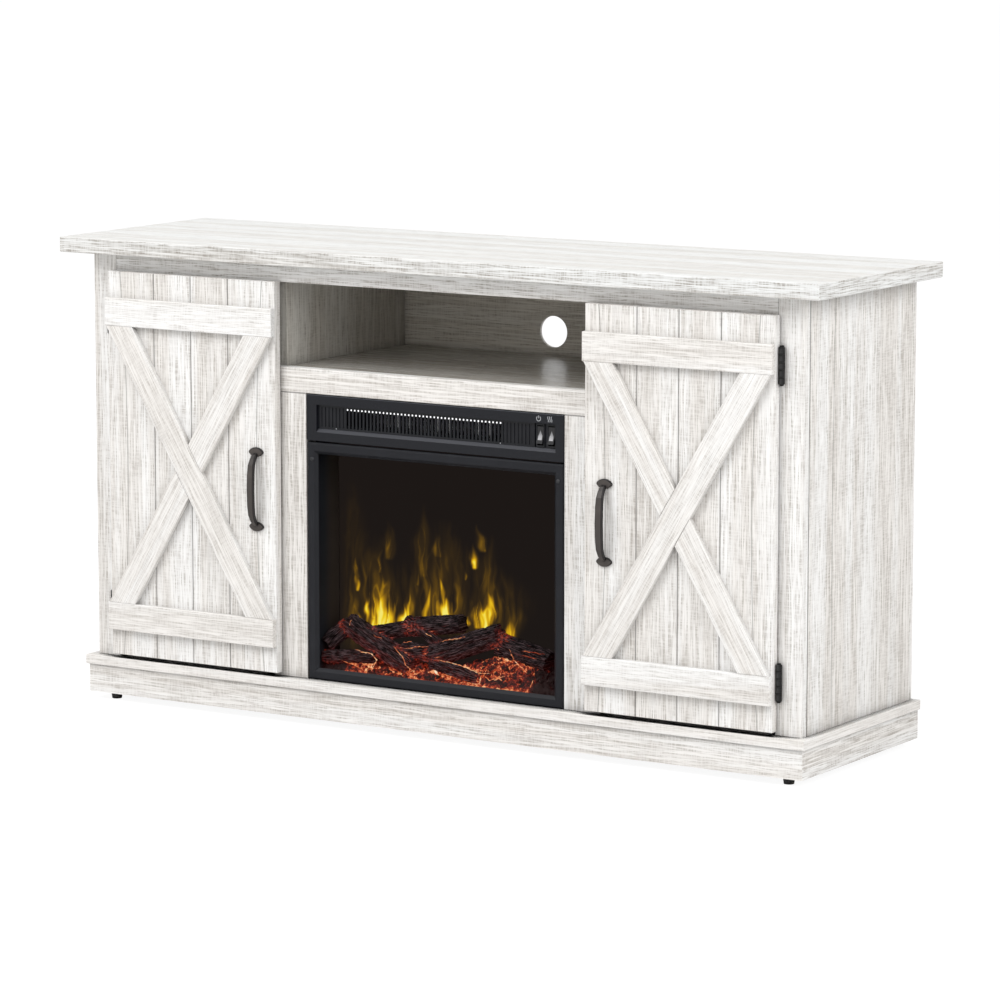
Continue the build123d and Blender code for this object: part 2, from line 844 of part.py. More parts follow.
glass_half = sight_width / 2 + glass_lap - glass_gap
glass_rise = sight_height / 2 + glass_lap - glass_gap
glass_y = (face_y + face_depth - glass_thickness, face_y + face_depth)
glass_z = (window_middle - glass_rise, window_middle + glass_rise)
save(board_piece((-glass_half, glass_half), glass_y, glass_z), "window_glass")

# Upper bezel: a recess with a sloping lip, an air window and two switch holes
recess_low = bezel_bottom + recess_bottom
recess_high = recess_low + recess_height
recess_left = -half_insert + recess_left_margin
recess_right = half_insert - recess_right_margin
recess_floor = face_y + recess_depth
ledge = recess_low + recess_lip
switch_x = (recess_right - switch_end - switch_pitch, recess_right - switch_end)
grille_left = recess_left + grille_gap
grille_right = switch_x[0] - switch_flange_width / 2 - grille_end
switch_z = (ledge + recess_high) / 2
grille_bottom = ledge + grille_gap
grille_top = recess_high - grille_gap
air_left = recess_left + air_window_margin
air_right = grille_right - air_window_margin
air_bottom = grille_bottom + air_window_rise
air_top = grille_top - air_window_rise
with BuildPart() as face_bezel:
    slab((-half_insert, half_insert), (face_y, face_y + face_depth), (bezel_bottom, insert_top))
    chamfer(face_bezel.faces().sort_by(Axis.Y)[0].edges(), eased_edge)
    with BuildSketch(Plane.YZ.offset(recess_left)):
        with BuildLine():
            Polyline(
                (face_y, recess_low),
                (face_y + recess_lip, ledge),
                (recess_floor, ledge),
                (recess_floor, recess_high),
                (face_y, recess_high),
                close=True,
            )
        make_face()
    extrude(amount=recess_right - recess_left, mode=Mode.SUBTRACT)
    with BuildSketch(front_plane(recess_floor)):
        with Locations(((air_left + air_right) / 2, (air_bottom + air_top) / 2)):
            Rectangle(air_right - air_left, air_top - air_bottom)
        with Locations(*[(x, switch_z) for x in switch_x]):
            Rectangle(switch_body_width, switch_body_height)
    extrude(amount=recess_depth - face_depth, mode=Mode.SUBTRACT)
save(face_bezel, "face_bezel")

# Outlet grille: a plate of upright slots that lies in the recess
grille_width = grille_right - grille_left
slot_height = grille_top - grille_bottom - 2 * slot_margin
slot_count = int((grille_width - 2 * slot_end_margin - slot_width) / slot_pitch) + 1
with BuildPart() as outlet_grille:
    with BuildSketch(front_plane(recess_floor)):
        with Locations(((grille_left + grille_right) / 2, (grille_bottom + grille_top) / 2)):
            Rectangle(grille_width, grille_top - grille_bottom)
            with GridLocations(slot_pitch, 1, slot_count, 1):
                Rectangle(slot_width, slot_height, mode=Mode.SUBTRACT)
    extrude(amount=grille_thickness)
save(outlet_grille, "outlet_grille")

# Switch housings, clipped through the bezel
pivot_y = recess_floor - switch_flange + rocker_pivot_depth
pivot_hole = pivot_radius + pivot_clearance
with BuildPart() as switch_bodies:
    for x in switch_x:
        flange_x = (x - switch_flange_width / 2, x + switch_flange_width / 2)
        flange_z = (switch_z - switch_flange_height / 2, switch_z + switch_flange_height / 2)
        body_x = (x - switch_body_width / 2, x + switch_body_width / 2)
        body_z = (switch_z - switch_body_height / 2, switch_z + switch_body_height / 2)
        slab(flange_x, (recess_floor - switch_flange, recess_floor), flange_z)
        slab(body_x, (recess_floor, recess_floor + switch_body_depth), body_z)
        pocket_x = (body_x[0] + switch_wall, body_x[1] - switch_wall)
        pocket_y = (recess_floor - switch_flange, recess_floor + switch_pocket_depth)
        slab(pocket_x, pocket_y, (switch_z - pocket_half, switch_z + pocket_half), Mode.SUBTRACT)
        with Locations((x, pivot_y, switch_z)):
            pivot_span = switch_body_width - 2 * switch_wall + 2 * (pivot_reach + pivot_clearance)
            Cylinder(pivot_hole, pivot_span, rotation=(0, 90, 0), mode=Mode.SUBTRACT)
save(switch_bodies, "switch_bodies")

# Rockers, at rest with the upper half pressed in
for x, label in zip(switch_x, ("power_switch", "heat_switch")):
    tilt = radians(rocker_tilt)
    rest_plane = Plane(
        origin=(x, pivot_y, switch_z),
        x_dir=(0, -cos(tilt), sin(tilt)),
        z_dir=(-1, 0, 0),
    )
    with BuildPart() as rocker:
        with BuildSketch(rest_plane):
            with BuildLine():
                half = rocker_height / 2
                Polyline(
                    (-rocker_back, -half / 2),
                    (0, -half),
                    (rocker_crown, -half),
                    (rocker_valley, 0),
                    (rocker_crown, half),
                    (0, half),
                    (-rocker_back, half / 2),
                    close=True,
                )
            make_face()
        extrude(amount=rocker_width / 2, both=True)
        pins_width = 2 * (switch_body_width / 2 - switch_wall + pivot_reach)
        with Locations((x, pivot_y, switch_z)):
            Cylinder(pivot_radius, pins_width, rotation=(0, 90, 0))
    save(rocker, label)

# Flame screen, standing on the shell floor under the deck
screen_y = (face_y + screen_depth, face_y + screen_depth + screen_thickness)
save(board_piece((-shell_inner, shell_inner), screen_y, (shell_floor, deck_bottom)), "flame_screen")

# Logs: start and end of each axis as (X, depth behind the face, height above the console floor)
LOGS = (
    ((-186.0, 48.0, 84.0), (-59.0, 33.0, 30.0), 18.0),
    ((-192.0, 49.0, 80.0), (-216.0, 46.0, 52.0), 15.0),
    ((-217.0, 25.0, 33.0), (-126.0, 26.0, 41.0), 10.5),
    ((-150.0, 51.0, 69.0), (-64.0, 53.0, 90.0), 13.5),
    ((-78.0, 48.0, 101.0), (-14.0, 39.0, 70.0), 8.5),
    ((-72.0, 52.0, 89.0), (20.0, 52.0, 103.0), 15.0),
    ((-20.0, 34.0, 52.0), (92.0, 44.0, 93.0), 18.5),
    ((91.0, 48.0, 79.0), (181.0, 46.0, 59.0), 18.0),
    ((-19.0, 24.0, 43.0), (67.0, 24.0, 25.0), 10.0),
    ((-82.0, 41.0, 54.0), (-9.0, 38.0, 52.0), 13.0),
)
log_sides = 9
log_stations = 5
bark_relief = 0.14
log_waist = 0.12


def log_profile(radius, turn):
    """The corners of a split log's section: a rough round with a seeded relief."""
    corners = []
    for index in range(log_sides):
        angle = 2 * pi * index / log_sides
        swell = 1 - bark_relief * (0.5 + 0.5 * sin(3.7 * index + turn))
        corners.append((radius * swell * cos(angle), radius * swell * sin(angle)))
    return corners


def log_point(point):
    """A log's axis point in the console's own axes."""
    x, depth, rise = point
    return Vector(x, face_y + depth, floor_top + rise)


bed_front = face_depth + bed_glass_gap
bed_back = screen_depth - bed_screen_gap
bed_slope = (bed_back_height - bed_front_height) / (bed_back - bed_front)


def bed_height(depth):
    """Height of the ember bed's sloping top at a depth behind the face."""
    return shell_floor + bed_front_height + bed_slope * (depth - bed_front)


bed_plane = Plane(
    origin=(0, face_y + bed_front, bed_height(bed_front)),
    x_dir=(1, 0, 0),
    z_dir=(0, -bed_slope, 1),
)

with BuildPart() as log_set:
    for number, (start, end, radius) in enumerate(LOGS):
        first, last = log_point(start), log_point(end)
        along = last - first
        for station in range(log_stations):
            share = station / (log_stations - 1)
            girth = 1 - log_waist * sin(2.3 * station + number)
            spot = first + along * share
            with BuildSketch(Plane(origin=spot, z_dir=along)):
                with BuildLine():
                    Polyline(*log_profile(radius * girth, number), close=True)
                make_face()
        loft(ruled=True)
    split(bisect_by=bed_plane, keep=Keep.TOP)
    fire_x = (-shell_inner + fire_gap, shell_inner - fire_gap)
    fire_y = (face_y + face_depth + fire_gap, face_y + screen_depth - fire_gap)
    slab(fire_x, fire_y, (shell_floor, deck_bottom), Mode.INTERSECT)
save(log_set, "log_set")

# Ember bed: a hollow tray with a sloping top, two mounds and loose coals
bed_half = shell_inner - bed_side_gap
MOUNDS = (
    ((142.0, 42.0), (118.0, 40.0), 36.0),
    ((-176.0, 38.0), (70.0, 40.0), 14.0),
    ((-40.0, 26.0), (64.0, 20.0), 10.0),
)
coal_count = 22
coal_radius = 9.0
coal_height = 11.0
coal_set_back = 15.0
coal_scatter = 2.5
coal_sides = 6

with BuildPart() as ember_bed:
    with BuildSketch(Plane.YZ.offset(-bed_half)):
        with BuildLine():
            Polyline(
                (face_y + bed_front, shell_floor),
                (face_y + bed_front, bed_height(bed_front)),
                (face_y + bed_back, bed_height(bed_back)),
                (face_y + bed_back, shell_floor),
                (face_y + bed_back - bed_wall, shell_floor),
                (face_y + bed_back - bed_wall, bed_height(bed_back - bed_wall) - bed_wall),
                (face_y + bed_front + bed_wall, bed_height(bed_front + bed_wall) - bed_wall),
                (face_y + bed_front + bed_wall, shell_floor),
                close=True,
            )
        make_face()
    extrude(amount=2 * bed_half)
    for (x, depth), (width, length), height in MOUNDS:
        for level, spread in ((-bed_wall / 2, 1.0), (height * 0.6, 0.75), (height, 0.4)):
            with BuildSketch(bed_plane.offset(level)):
                with Locations((x, depth - bed_front)):
                    Rectangle(width * spread, length * spread)
        loft(ruled=True)
    for index in range(coal_count):
        x = -bed_half + 2 * bed_half * (index + 0.5) / coal_count
        depth = coal_set_back + coal_scatter * sin(4.1 * index)
        for level, spread in ((-bed_wall / 2, 1.0), (coal_height * (0.8 + 0.2 * cos(2.7 * index)), 0.55)):
            with BuildSketch(bed_plane.offset(level)):
                with Locations((x, depth)):
                    RegularPolygon(coal_radius * spread, coal_sides, rotation=37 * index)
        loft(ruled=True)
    slab((-bed_half, bed_half), fire_y, (shell_floor, deck_bottom), Mode.INTERSECT)
    add(log_set.part, mode=Mode.SUBTRACT)
save(ember_bed, "ember_bed")

# Lamp board under the ember bed
with BuildPart() as light_board:
    lamp_bottom = shell_floor + lamp_board_rise
    lamp_top = lamp_bottom + lamp_board
    lamp_board_width = 2 * (bed_half - lamp_board_end_gap)
    board_y = (face_y + bed_front + lamp_board_front_gap, face_y + bed_back - lamp_board_back_gap)
    board_middle = (board_y[0] + board_y[1]) / 2
    slab((-lamp_board_width / 2, lamp_board_width / 2), board_y, (lamp_bottom, lamp_top))
    with Locations((0, board_middle, shell_floor + lamp_board_rise / 2)):
        with GridLocations(lamp_board_width - 2 * lamp_size, board_y[1] - board_y[0] - 2 * lamp_size, 2, 2):
            Box(lamp_size, lamp_size, lamp_board_rise)
    with Locations((0, board_middle, lamp_top + lamp_height / 2)):
        with GridLocations(lamp_board_width / lamp_count, 1, lamp_count, 1):
            Box(lamp_size, lamp_size, lamp_height)
save(light_board, "light_board")

# Flicker rod: bright flags set round a shaft, turning behind the flame screen
motor_face = shell_inner - flame_motor_length
boss_face = motor_face - flame_motor_boss
rod_end = motor_face + flame_motor_boss
rod_start = -half_shell - rod_collar
rod_flag_count = int(2 * (boss_face - rod_end_gap) / rod_flag_pitch)
with BuildPart() as flame_rotor:
    with Locations(((rod_start + rod_end) / 2, rod_y, rod_z)):
        Cylinder(rod_radius, rod_end - rod_start, rotation=(0, 90, 0))
    for index in range(rod_flag_count):
        flag_x = (index - (rod_flag_count - 1) / 2) * rod_flag_pitch
        turn = 137.5 * index
        with Locations(Location((flag_x, rod_y, rod_z), (turn, 0, 0))):
            Box(rod_flag_length, 2 * rod_flag_reach, rod_flag_thickness)
save(flame_rotor, "flame_rotor")

# Motor of the flicker rod, on the shell's right wall
with BuildPart() as flame_motor:
    with Locations(((motor_face + shell_inner) / 2, rod_y, rod_z)):
        Cylinder(flame_motor_radius, flame_motor_length, rotation=(0, 90, 0))
    with Locations(((boss_face + motor_face) / 2, rod_y, rod_z)):
        Cylinder(rod_collar_radius, flame_motor_boss, rotation=(0, 90, 0))
    bore_end = rod_end + knuckle_gap
    with Locations(((boss_face + bore_end) / 2, rod_y, rod_z)):
        Cylinder(hollow, bore_end - boss_face, rotation=(0, 90, 0), mode=Mode.SUBTRACT)
save(flame_motor, "flame_motor")

# Blower: a scroll and its duct in folded sheet, between two end plates
blower_y = face_y + blower_depth
blower_z = deck_top + blower_rise
scroll_radius = wheel_radius + wheel_gap
duct_half = duct_height / 2
duct_y = face_y + duct_front
shaft_hole = blower_shaft_radius + blower_shaft_clearance
with BuildPart() as blower_housing:
    with BuildSketch(Plane.YZ.offset(-blower_length / 2)):
        with Locations((blower_y, blower_z)):
            Circle(scroll_radius + sheet)
        with Locations(((duct_y + blower_y) / 2, blower_z)):
            Rectangle(blower_y - duct_y, duct_height + 2 * sheet)
        with Locations((blower_y, blower_z)):
            Circle(scroll_radius, mode=Mode.SUBTRACT)
        with Locations(((duct_y + blower_y) / 2, blower_z)):
            Rectangle(blower_y - duct_y, duct_height, mode=Mode.SUBTRACT)
        intake = scroll_radius + sheet
        with Locations((blower_y + intake / 2, blower_z)):
            Rectangle(intake, duct_height, mode=Mode.SUBTRACT)
    extrude(amount=blower_length)
    for end in (-1, 1):
        plate_x = blower_length / 2 if end > 0 else -blower_length / 2 - sheet
        plate_top = blower_z + scroll_radius + sheet
        with BuildSketch(Plane.YZ.offset(plate_x)):
            with Locations(((duct_y + blower_y + intake) / 2, (deck_top + plate_top) / 2)):
                Rectangle(blower_y + intake - duct_y, plate_top - deck_top)
            with Locations((blower_y, blower_z)):
                Circle(shaft_hole, mode=Mode.SUBTRACT)
        extrude(amount=sheet)
save(blower_housing, "blower_housing")

# Cross-flow wheel: slanted blades between discs on one shaft
wheel_length = blower_length - 2 * wheel_end_gap
shaft_left = -blower_length / 2 - 2 * sheet
shaft_right = blower_length / 2 + sheet + shaft_in_motor
with BuildPart() as blower_wheel:
    blade_circle = wheel_radius - blade_width / 2
    with BuildSketch(Plane.YZ.offset(-wheel_length / 2)):
        with Locations((blower_y, blower_z)):
            with PolarLocations(blade_circle, blade_count):
                Rectangle(blade_width, blade_thickness, rotation=blade_pitch_angle)
    extrude(amount=wheel_length)
    disc_pitch = (wheel_length - wheel_disc) / (wheel_disc_count - 1)
    for index in range(wheel_disc_count):
        disc_x = -wheel_length / 2 + index * disc_pitch
        with BuildSketch(Plane.YZ.offset(disc_x)):
            with Locations((blower_y, blower_z)):
                Circle(wheel_radius)
        extrude(amount=wheel_disc)
    with Locations(((shaft_left + shaft_right) / 2, blower_y, blower_z)):
        Cylinder(blower_shaft_radius, shaft_right - shaft_left, rotation=(0, 90, 0))
save(blower_wheel, "blower_wheel")

# Blower motor, on the right end plate
with BuildPart() as blower_motor:
    motor_left = blower_length / 2 + sheet
    with Locations((motor_left + blower_motor_length / 2, blower_y, blower_z)):
        Cylinder(blower_motor_radius, blower_motor_length, rotation=(0, 90, 0))
    motor_rims = blower_motor.edges().filter_by(GeomType.CIRCLE).group_by(Axis.X)[-1]
    chamfer(motor_rims, 3 * sheet)
    bore_length = shaft_in_motor + knuckle_gap
    with Locations((motor_left + bore_length / 2, blower_y, blower_z)):
        Cylinder(shaft_hole, bore_length, rotation=(0, 90, 0), mode=Mode.SUBTRACT)
save(blower_motor, "blower_motor")

# Finned heating element across the duct
with BuildPart() as heating_element:
    element_y = (face_y + heater_front, face_y + heater_front + heater_depth)
    element_x = (-blower_length / 2, blower_length / 2)
    low, high = blower_z - duct_half, blower_z + duct_half
    slab(element_x, element_y, (low, low + heater_rail))
    slab(element_x, element_y, (high - heater_rail, high))
    with Locations((0, (element_y[0] + element_y[1]) / 2, blower_z)):
        with GridLocations((blower_length - fin_thickness) / (fin_count - 1), 1, fin_count, 1):
            Box(fin_thickness, heater_depth, duct_height)
save(heating_element, "heating_element")
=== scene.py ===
# %% [markdown]
# # A barn-door media console with an electric firebox
# The imported model holds every board, hinge, pull and rotor at its true size. This lesson leaves
# those solids where they are, gives each one its finish, and adds what is too fine for solids:
# the flame picture, charred logs and glowing coals, a row of painted light in the outlet slots, and
# small fasteners.

# %% Load the imported model
import math
from functools import partialmethod

import bmesh
import bpy
import numpy as np
from mathutils import Matrix, Vector, noise
from mathutils.bvhtree import BVHTree


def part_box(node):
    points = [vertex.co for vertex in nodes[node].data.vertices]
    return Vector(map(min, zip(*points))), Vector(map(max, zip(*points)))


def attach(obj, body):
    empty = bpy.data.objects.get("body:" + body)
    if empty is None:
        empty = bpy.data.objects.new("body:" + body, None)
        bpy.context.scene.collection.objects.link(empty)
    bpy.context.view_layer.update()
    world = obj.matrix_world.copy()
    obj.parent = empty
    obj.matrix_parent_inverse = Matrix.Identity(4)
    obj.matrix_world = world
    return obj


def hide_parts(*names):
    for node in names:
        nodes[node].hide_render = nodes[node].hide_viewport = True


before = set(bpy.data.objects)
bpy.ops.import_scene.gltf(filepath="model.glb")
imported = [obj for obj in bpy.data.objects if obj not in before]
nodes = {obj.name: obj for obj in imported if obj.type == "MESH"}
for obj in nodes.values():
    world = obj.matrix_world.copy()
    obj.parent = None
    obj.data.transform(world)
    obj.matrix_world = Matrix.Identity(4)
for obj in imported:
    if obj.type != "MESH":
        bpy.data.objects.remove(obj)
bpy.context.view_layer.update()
scene = bpy.context.scene

# %% [markdown]
# ## Camera
# The console was photographed from the right with a long lens, so its edges hardly converge. The
# distance, lens and angles below come from matching the corners of the top, the plinth and the
# doors. The aim point sits a little right of the middle of the face.

# %% Place the camera
face_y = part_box("window_frame")[0].y
view_azimuth = math.radians(32.15)
view_elevation = math.radians(8.67)
view_distance = 7.1437
aim = Vector((0.01963, face_y + 0.160, 0.35276))
towards_camera = Vector((
    math.sin(view_azimuth) * math.cos(view_elevation),
    -math.cos(view_azimuth) * math.cos(view_elevation),
    math.sin(view_elevation),
))
camera = bpy.data.objects.new("camera", bpy.data.cameras.new("camera"))
camera.data.sensor_fit = "HORIZONTAL"
camera.data.sensor_width = 36.0
camera.data.lens = 166.2
camera.data.clip_end = 60.0
camera.location = aim + towards_camera * view_distance
camera.rotation_euler = (-towards_camera).to_track_quat("-Z", "Y").to_euler()
scene.collection.objects.link(camera)
scene.camera = camera
scene.view_settings.view_transform = "Standard"
print("camera", round(view_distance, 2), "m from the console")

# %% [markdown]
# ## Short ways to write nodes
# Finishes and repeating pieces are both made of nodes. A wire stands for a node's output, and
# plain arithmetic on wires adds Math nodes, so the later cells read as sums of layers. A tree adds
# nodes and fills their sockets, either with a value or with a wire from another node.


# %% Wires
class Wire:
    """A node's output; arithmetic on it adds one Math node per step."""

    def __init__(self, tree, socket):
        self.tree, self.socket = tree, socket

    def also(self, name):
        """Another output of the same node."""
        return Wire(self.tree, self.socket.node.outputs[name])

    def step(self, operation, other=0.0):
        """One Math node, with this wire first."""
        return self.tree.put("Math", {0: self, 1: other}, operation=operation)

    __add__ = partialmethod(step, "ADD")
    __sub__ = partialmethod(step, "SUBTRACT")
    __mul__ = partialmethod(step, "MULTIPLY")
    __truediv__ = partialmethod(step, "DIVIDE")
    __pow__ = partialmethod(step, "POWER")
    __abs__ = partialmethod(step, "ABSOLUTE")
    __gt__ = partialmethod(step, "GREATER_THAN")
    __lt__ = partialmethod(step, "LESS_THAN")

    def __rsub__(self, number):
        return self.tree.put("Math", {0: number, 1: self}, operation="SUBTRACT")

    def axis(self, letter):
        """X, Y or Z of a vector."""
        return self.tree.put("SeparateXYZ", {0: self}, letter)

    def ramp(self, start, end):
        """0 below start, 1 above end, and a smooth rise between them."""
        inputs = {0: self, 1: start, 2: end, 3: 0.0, 4: 1.0}
        return self.tree.put("MapRange", inputs, interpolation_type="SMOOTHSTEP")

    def span(self, low, high, start=0.0, end=1.0):
        """A straight line from low at start to high at end, level beyond them."""
        return self.tree.put("MapRange", {0: self, 1: start, 2: end, 3: low, 4: high})

    def blend(self, low, high, mode="MIX"):
        """A colour between two others; this wire is the share of the second."""
        return self.tree.mix(self, low, high, mode)


# %% Trees
class Tree:
    """A node tree."""

    def __init__(self, tree):
        self.tree = tree

    def fill(self, socket, value):
        """Set a socket to a value, or link a wire to it. Colours come without their alpha."""
        if isinstance(value, Wire):
            self.tree.links.new(value.socket, socket)
        else:
            socket.default_value = (*value, 1) if socket.type == "RGBA" else value

    def put(self, kind, inputs=None, out=0, **options):
        """Add a node, shader nodes by their short name, and return the wire from one output."""
        made = self.tree.nodes.new(kind if "Node" in kind else "ShaderNode" + kind)
        for option, value in options.items():
            setattr(made, option, value)
        for socket, value in (inputs or {}).items():
            self.fill(made.inputs[socket], value)
        return Wire(self, made.outputs[out]) if made.outputs else None

    def mix(self, share, low, high, mode="MIX"):
        """Two colours, mixed by the share of the second."""
        inputs = {0: share, 6: low, 7: high}
        return self.put("Mix", inputs, 2, data_type="RGBA", blend_type=mode)

    def mix_vectors(self, share, low, high):
        """Two vectors, mixed by the share of the second."""
        return self.put("Mix", {0: share, 4: low, 5: high}, 1, data_type="VECTOR")


# %% Finishes
class Finish(Tree):
    """A material; underscores in a socket's name stand for spaces."""

    def __init__(self, name, **sockets):
        self.material = bpy.data.materials.new(name)
        self.material.use_nodes = True
        super().__init__(self.material.node_tree)
        self.surface = self.tree.nodes["Principled BSDF"]
        self.set(**sockets)

    def set(self, **sockets):
        """Fill sockets of the surface by name."""
        for name, value in sockets.items():
            self.fill(self.surface.inputs[name.replace("_", " ")], value)
        return self

    def spot(self):
        """The point on the object, in metres."""
        return self.put("TexCoord", out="Object")

    def facing(self):
        """The way the surface looks."""
        return self.put("TexCoord", out="Normal")

    def layer(self, name):
        """A number stored on the mesh."""
        return self.put("Attribute", out="Fac", attribute_name=name)

    def speckle(self, scale, detail=2.0, roughness=0.5, at=None):
        """A noise between 0 and 1, stretched by one or three scales in cycles per metre."""
        scales = scale if isinstance(scale, tuple) else (scale, scale, scale)
        stretched = self.put("Mapping", {"Vector": at or self.spot(), "Scale": scales})
        inputs = {"Vector": stretched, "Scale": 1.0, "Detail": detail, "Roughness": roughness}
        return self.put("TexNoise", inputs)

    def nook(self, reach):
        """How far other surfaces shut a point in, from 0 to 1."""
        return 1.0 - self.put("AmbientOcclusion", {"Distance": reach}, "AO", samples=6)

    def bump(self, height, strength, distance):
        """Raise the surface by a height pattern."""
        inputs = {"Height": height, "Strength": strength, "Distance": distance}
        self.set(Normal=self.put("Bump", inputs))


def dress(finish, names):
    """Give a finish to model nodes, named in one string."""
    for name in names.split():
        for slot in nodes[name].material_slots:
            slot.material = finish.material


print("node helpers ready")

# %% [markdown]
# ## Light and floor
# The picture is a plain catalogue shot: a white sweep, one large soft key from the upper left and
# an even fill. The sky is white to the camera and to reflections, but lights the boards at a
# lower level, so pale laminate keeps its grain.

# %% Sky, lamps and floor
sky = bpy.data.worlds.new("studio")
sky.use_nodes = True
scene.world = sky
sky.node_tree.nodes.clear()
room = Tree(sky.node_tree)
ray = room.put("LightPath", out="Is Camera Ray")
seen = ray.step("MAXIMUM", ray.also("Is Transmission Ray"))
seen = seen.step("MAXIMUM", ray.also("Is Glossy Ray"))
fill = room.put("Background", {"Color": (1.0, 0.982, 0.958), "Strength": 0.63})
white = room.put("Background", {"Color": (1, 1, 1), "Strength": 1.0})
either = room.put("MixShader", {0: seen, 1: fill, 2: white})
room.put("OutputWorld", {"Surface": either})
lamp_target = Vector((0, 0, 0.4))
# Name, place, size and power of each soft box
LAMPS = (("key", (-1.6, -3.4, 4.4), 3.0, 168.0), ("side", (4.2, -1.4, 2.7), 2.4, 96.0))
for name, place, size, watts in LAMPS:
    lamp = bpy.data.objects.new(name, bpy.data.lights.new(name, "AREA"))
    lamp.data.size, lamp.data.energy = size, watts
    lamp.location = place
    lamp.rotation_euler = (lamp_target - lamp.location).to_track_quat("-Z", "Y").to_euler()
    scene.collection.objects.link(lamp)

floor_mesh = bpy.data.meshes.new("floor")
far = 30.0
rim = [(-far, -far, 0), (far, -far, 0), (far, far, 0), (-far, far, 0)]
floor_mesh.from_pydata(rim, [], [(0, 1, 2, 3)])
floor = bpy.data.objects.new("floor", floor_mesh)
scene.collection.objects.link(floor)
paper = Finish("sweep", Base_Color=(0.74, 0.74, 0.74), Roughness=0.9, Specular_IOR_Level=0.0)
glow = paper.put("Emission", {"Color": (1, 1, 1), "Strength": 1.16})
share = paper.put("LightPath", out="Is Camera Ray") * 0.80
plain = Wire(paper, paper.surface.outputs[0])
lit = paper.put("MixShader", {0: share, 1: plain, 2: glow})
paper.fill(paper.tree.nodes["Material Output"].inputs["Surface"], lit)
floor_mesh.materials.append(paper.material)

# %% [markdown]
# ## Whitewashed laminate
# The boards are covered in a printed foil: old oak under thin white paint. The print has soft
# tone bands, long grey streaks, short pores, and faint ticks across the grain where a saw once
# passed. A scanned picture would show the same lines on every board. Here each layer is one
# stretched noise, and every board uses the same layers, turned to its own length and shifted.


# %% Grain directions
def turn_print(about_x=0.0, about_y=0.0):
    """A direction: the point on the object, turned so that the print runs another way."""
    turn = (about_x, about_y, 0)
    return lambda finish: finish.put("Mapping", {"Vector": finish.spot(), "Rotation": turn})


# Upright boards, boards that run left to right, and boards that run front to back
along_z = Finish.spot
along_x = turn_print(about_y=-math.pi / 2)
along_y = turn_print(about_x=math.pi / 2)


def along_x_with_banded_ends(finish):
    """Long boards whose end faces carry an edging strip that runs front to back."""
    is_end = abs(finish.facing().axis("X")) > 0.6
    return finish.mix_vectors(is_end, along_x(finish), along_y(finish))


def along_braces(side):
    """The two diagonals of one door, told apart by their distance from the long one."""
    low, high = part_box("door_braces_left" if side < 0 else "door_braces_right")
    center = (low + high) / 2
    foot = 0.050
    lean = math.atan2((high.x - low.x) - foot, high.z - low.z)
    half = foot / 2 * math.cos(lean)

    def along_brace(finish):
        spot = finish.spot()
        across = (spot.axis("X") - center.x) * math.cos(lean)
        climb = (spot.axis("Z") - center.z) * (side * math.sin(lean))
        on_short = abs(across - climb) > half
        ways = [turn_print(about_y=-slope * lean)(finish) for slope in (side, -side)]
        return finish.mix_vectors(on_short, *ways)

    return along_brace


print("grain directions ready")

# %% [markdown]
# The doors and the side panels also carry a few dark lines that wander a little as they climb, as
# the edges of old planks do. They are part of the print, so they are drawn in the finish, by the
# distance from a gently bowed line. Corners that other surfaces shut in get a little painted shade,
# and the deepest gaps a painted black shadow.

# %% The laminate itself
paint_white, paint_worn = (0.90, 0.90, 0.895), (0.845, 0.825, 0.800)
grain_grey, line_ink = (0.335, 0.302, 0.268), (0.12, 0.115, 0.11)
# Tones of the painted shade in corners and of the painted black shadow in deep gaps
corner_shade_tone, gap_shadow_tone = (0.10, 0.095, 0.09), (0.004, 0.004, 0.004)


def printed_line(finish, axis, center, reach, z_span, bow=0.0, width=0.0012):
    """Darkness of a pair of lines, reach to each side of center, that bend inwards halfway up."""
    spot = finish.spot()
    middle, half = (z_span[0] + z_span[1]) / 2, (z_span[1] - z_span[0]) / 2
    climb = (spot.axis("Z") - middle) / half
    line = reach - (1.0 - climb * climb) * bow
    gap = abs(abs(spot.axis(axis) - center) - line)
    return 1.0 - gap.ramp(0.3 * width, 1.3 * width)


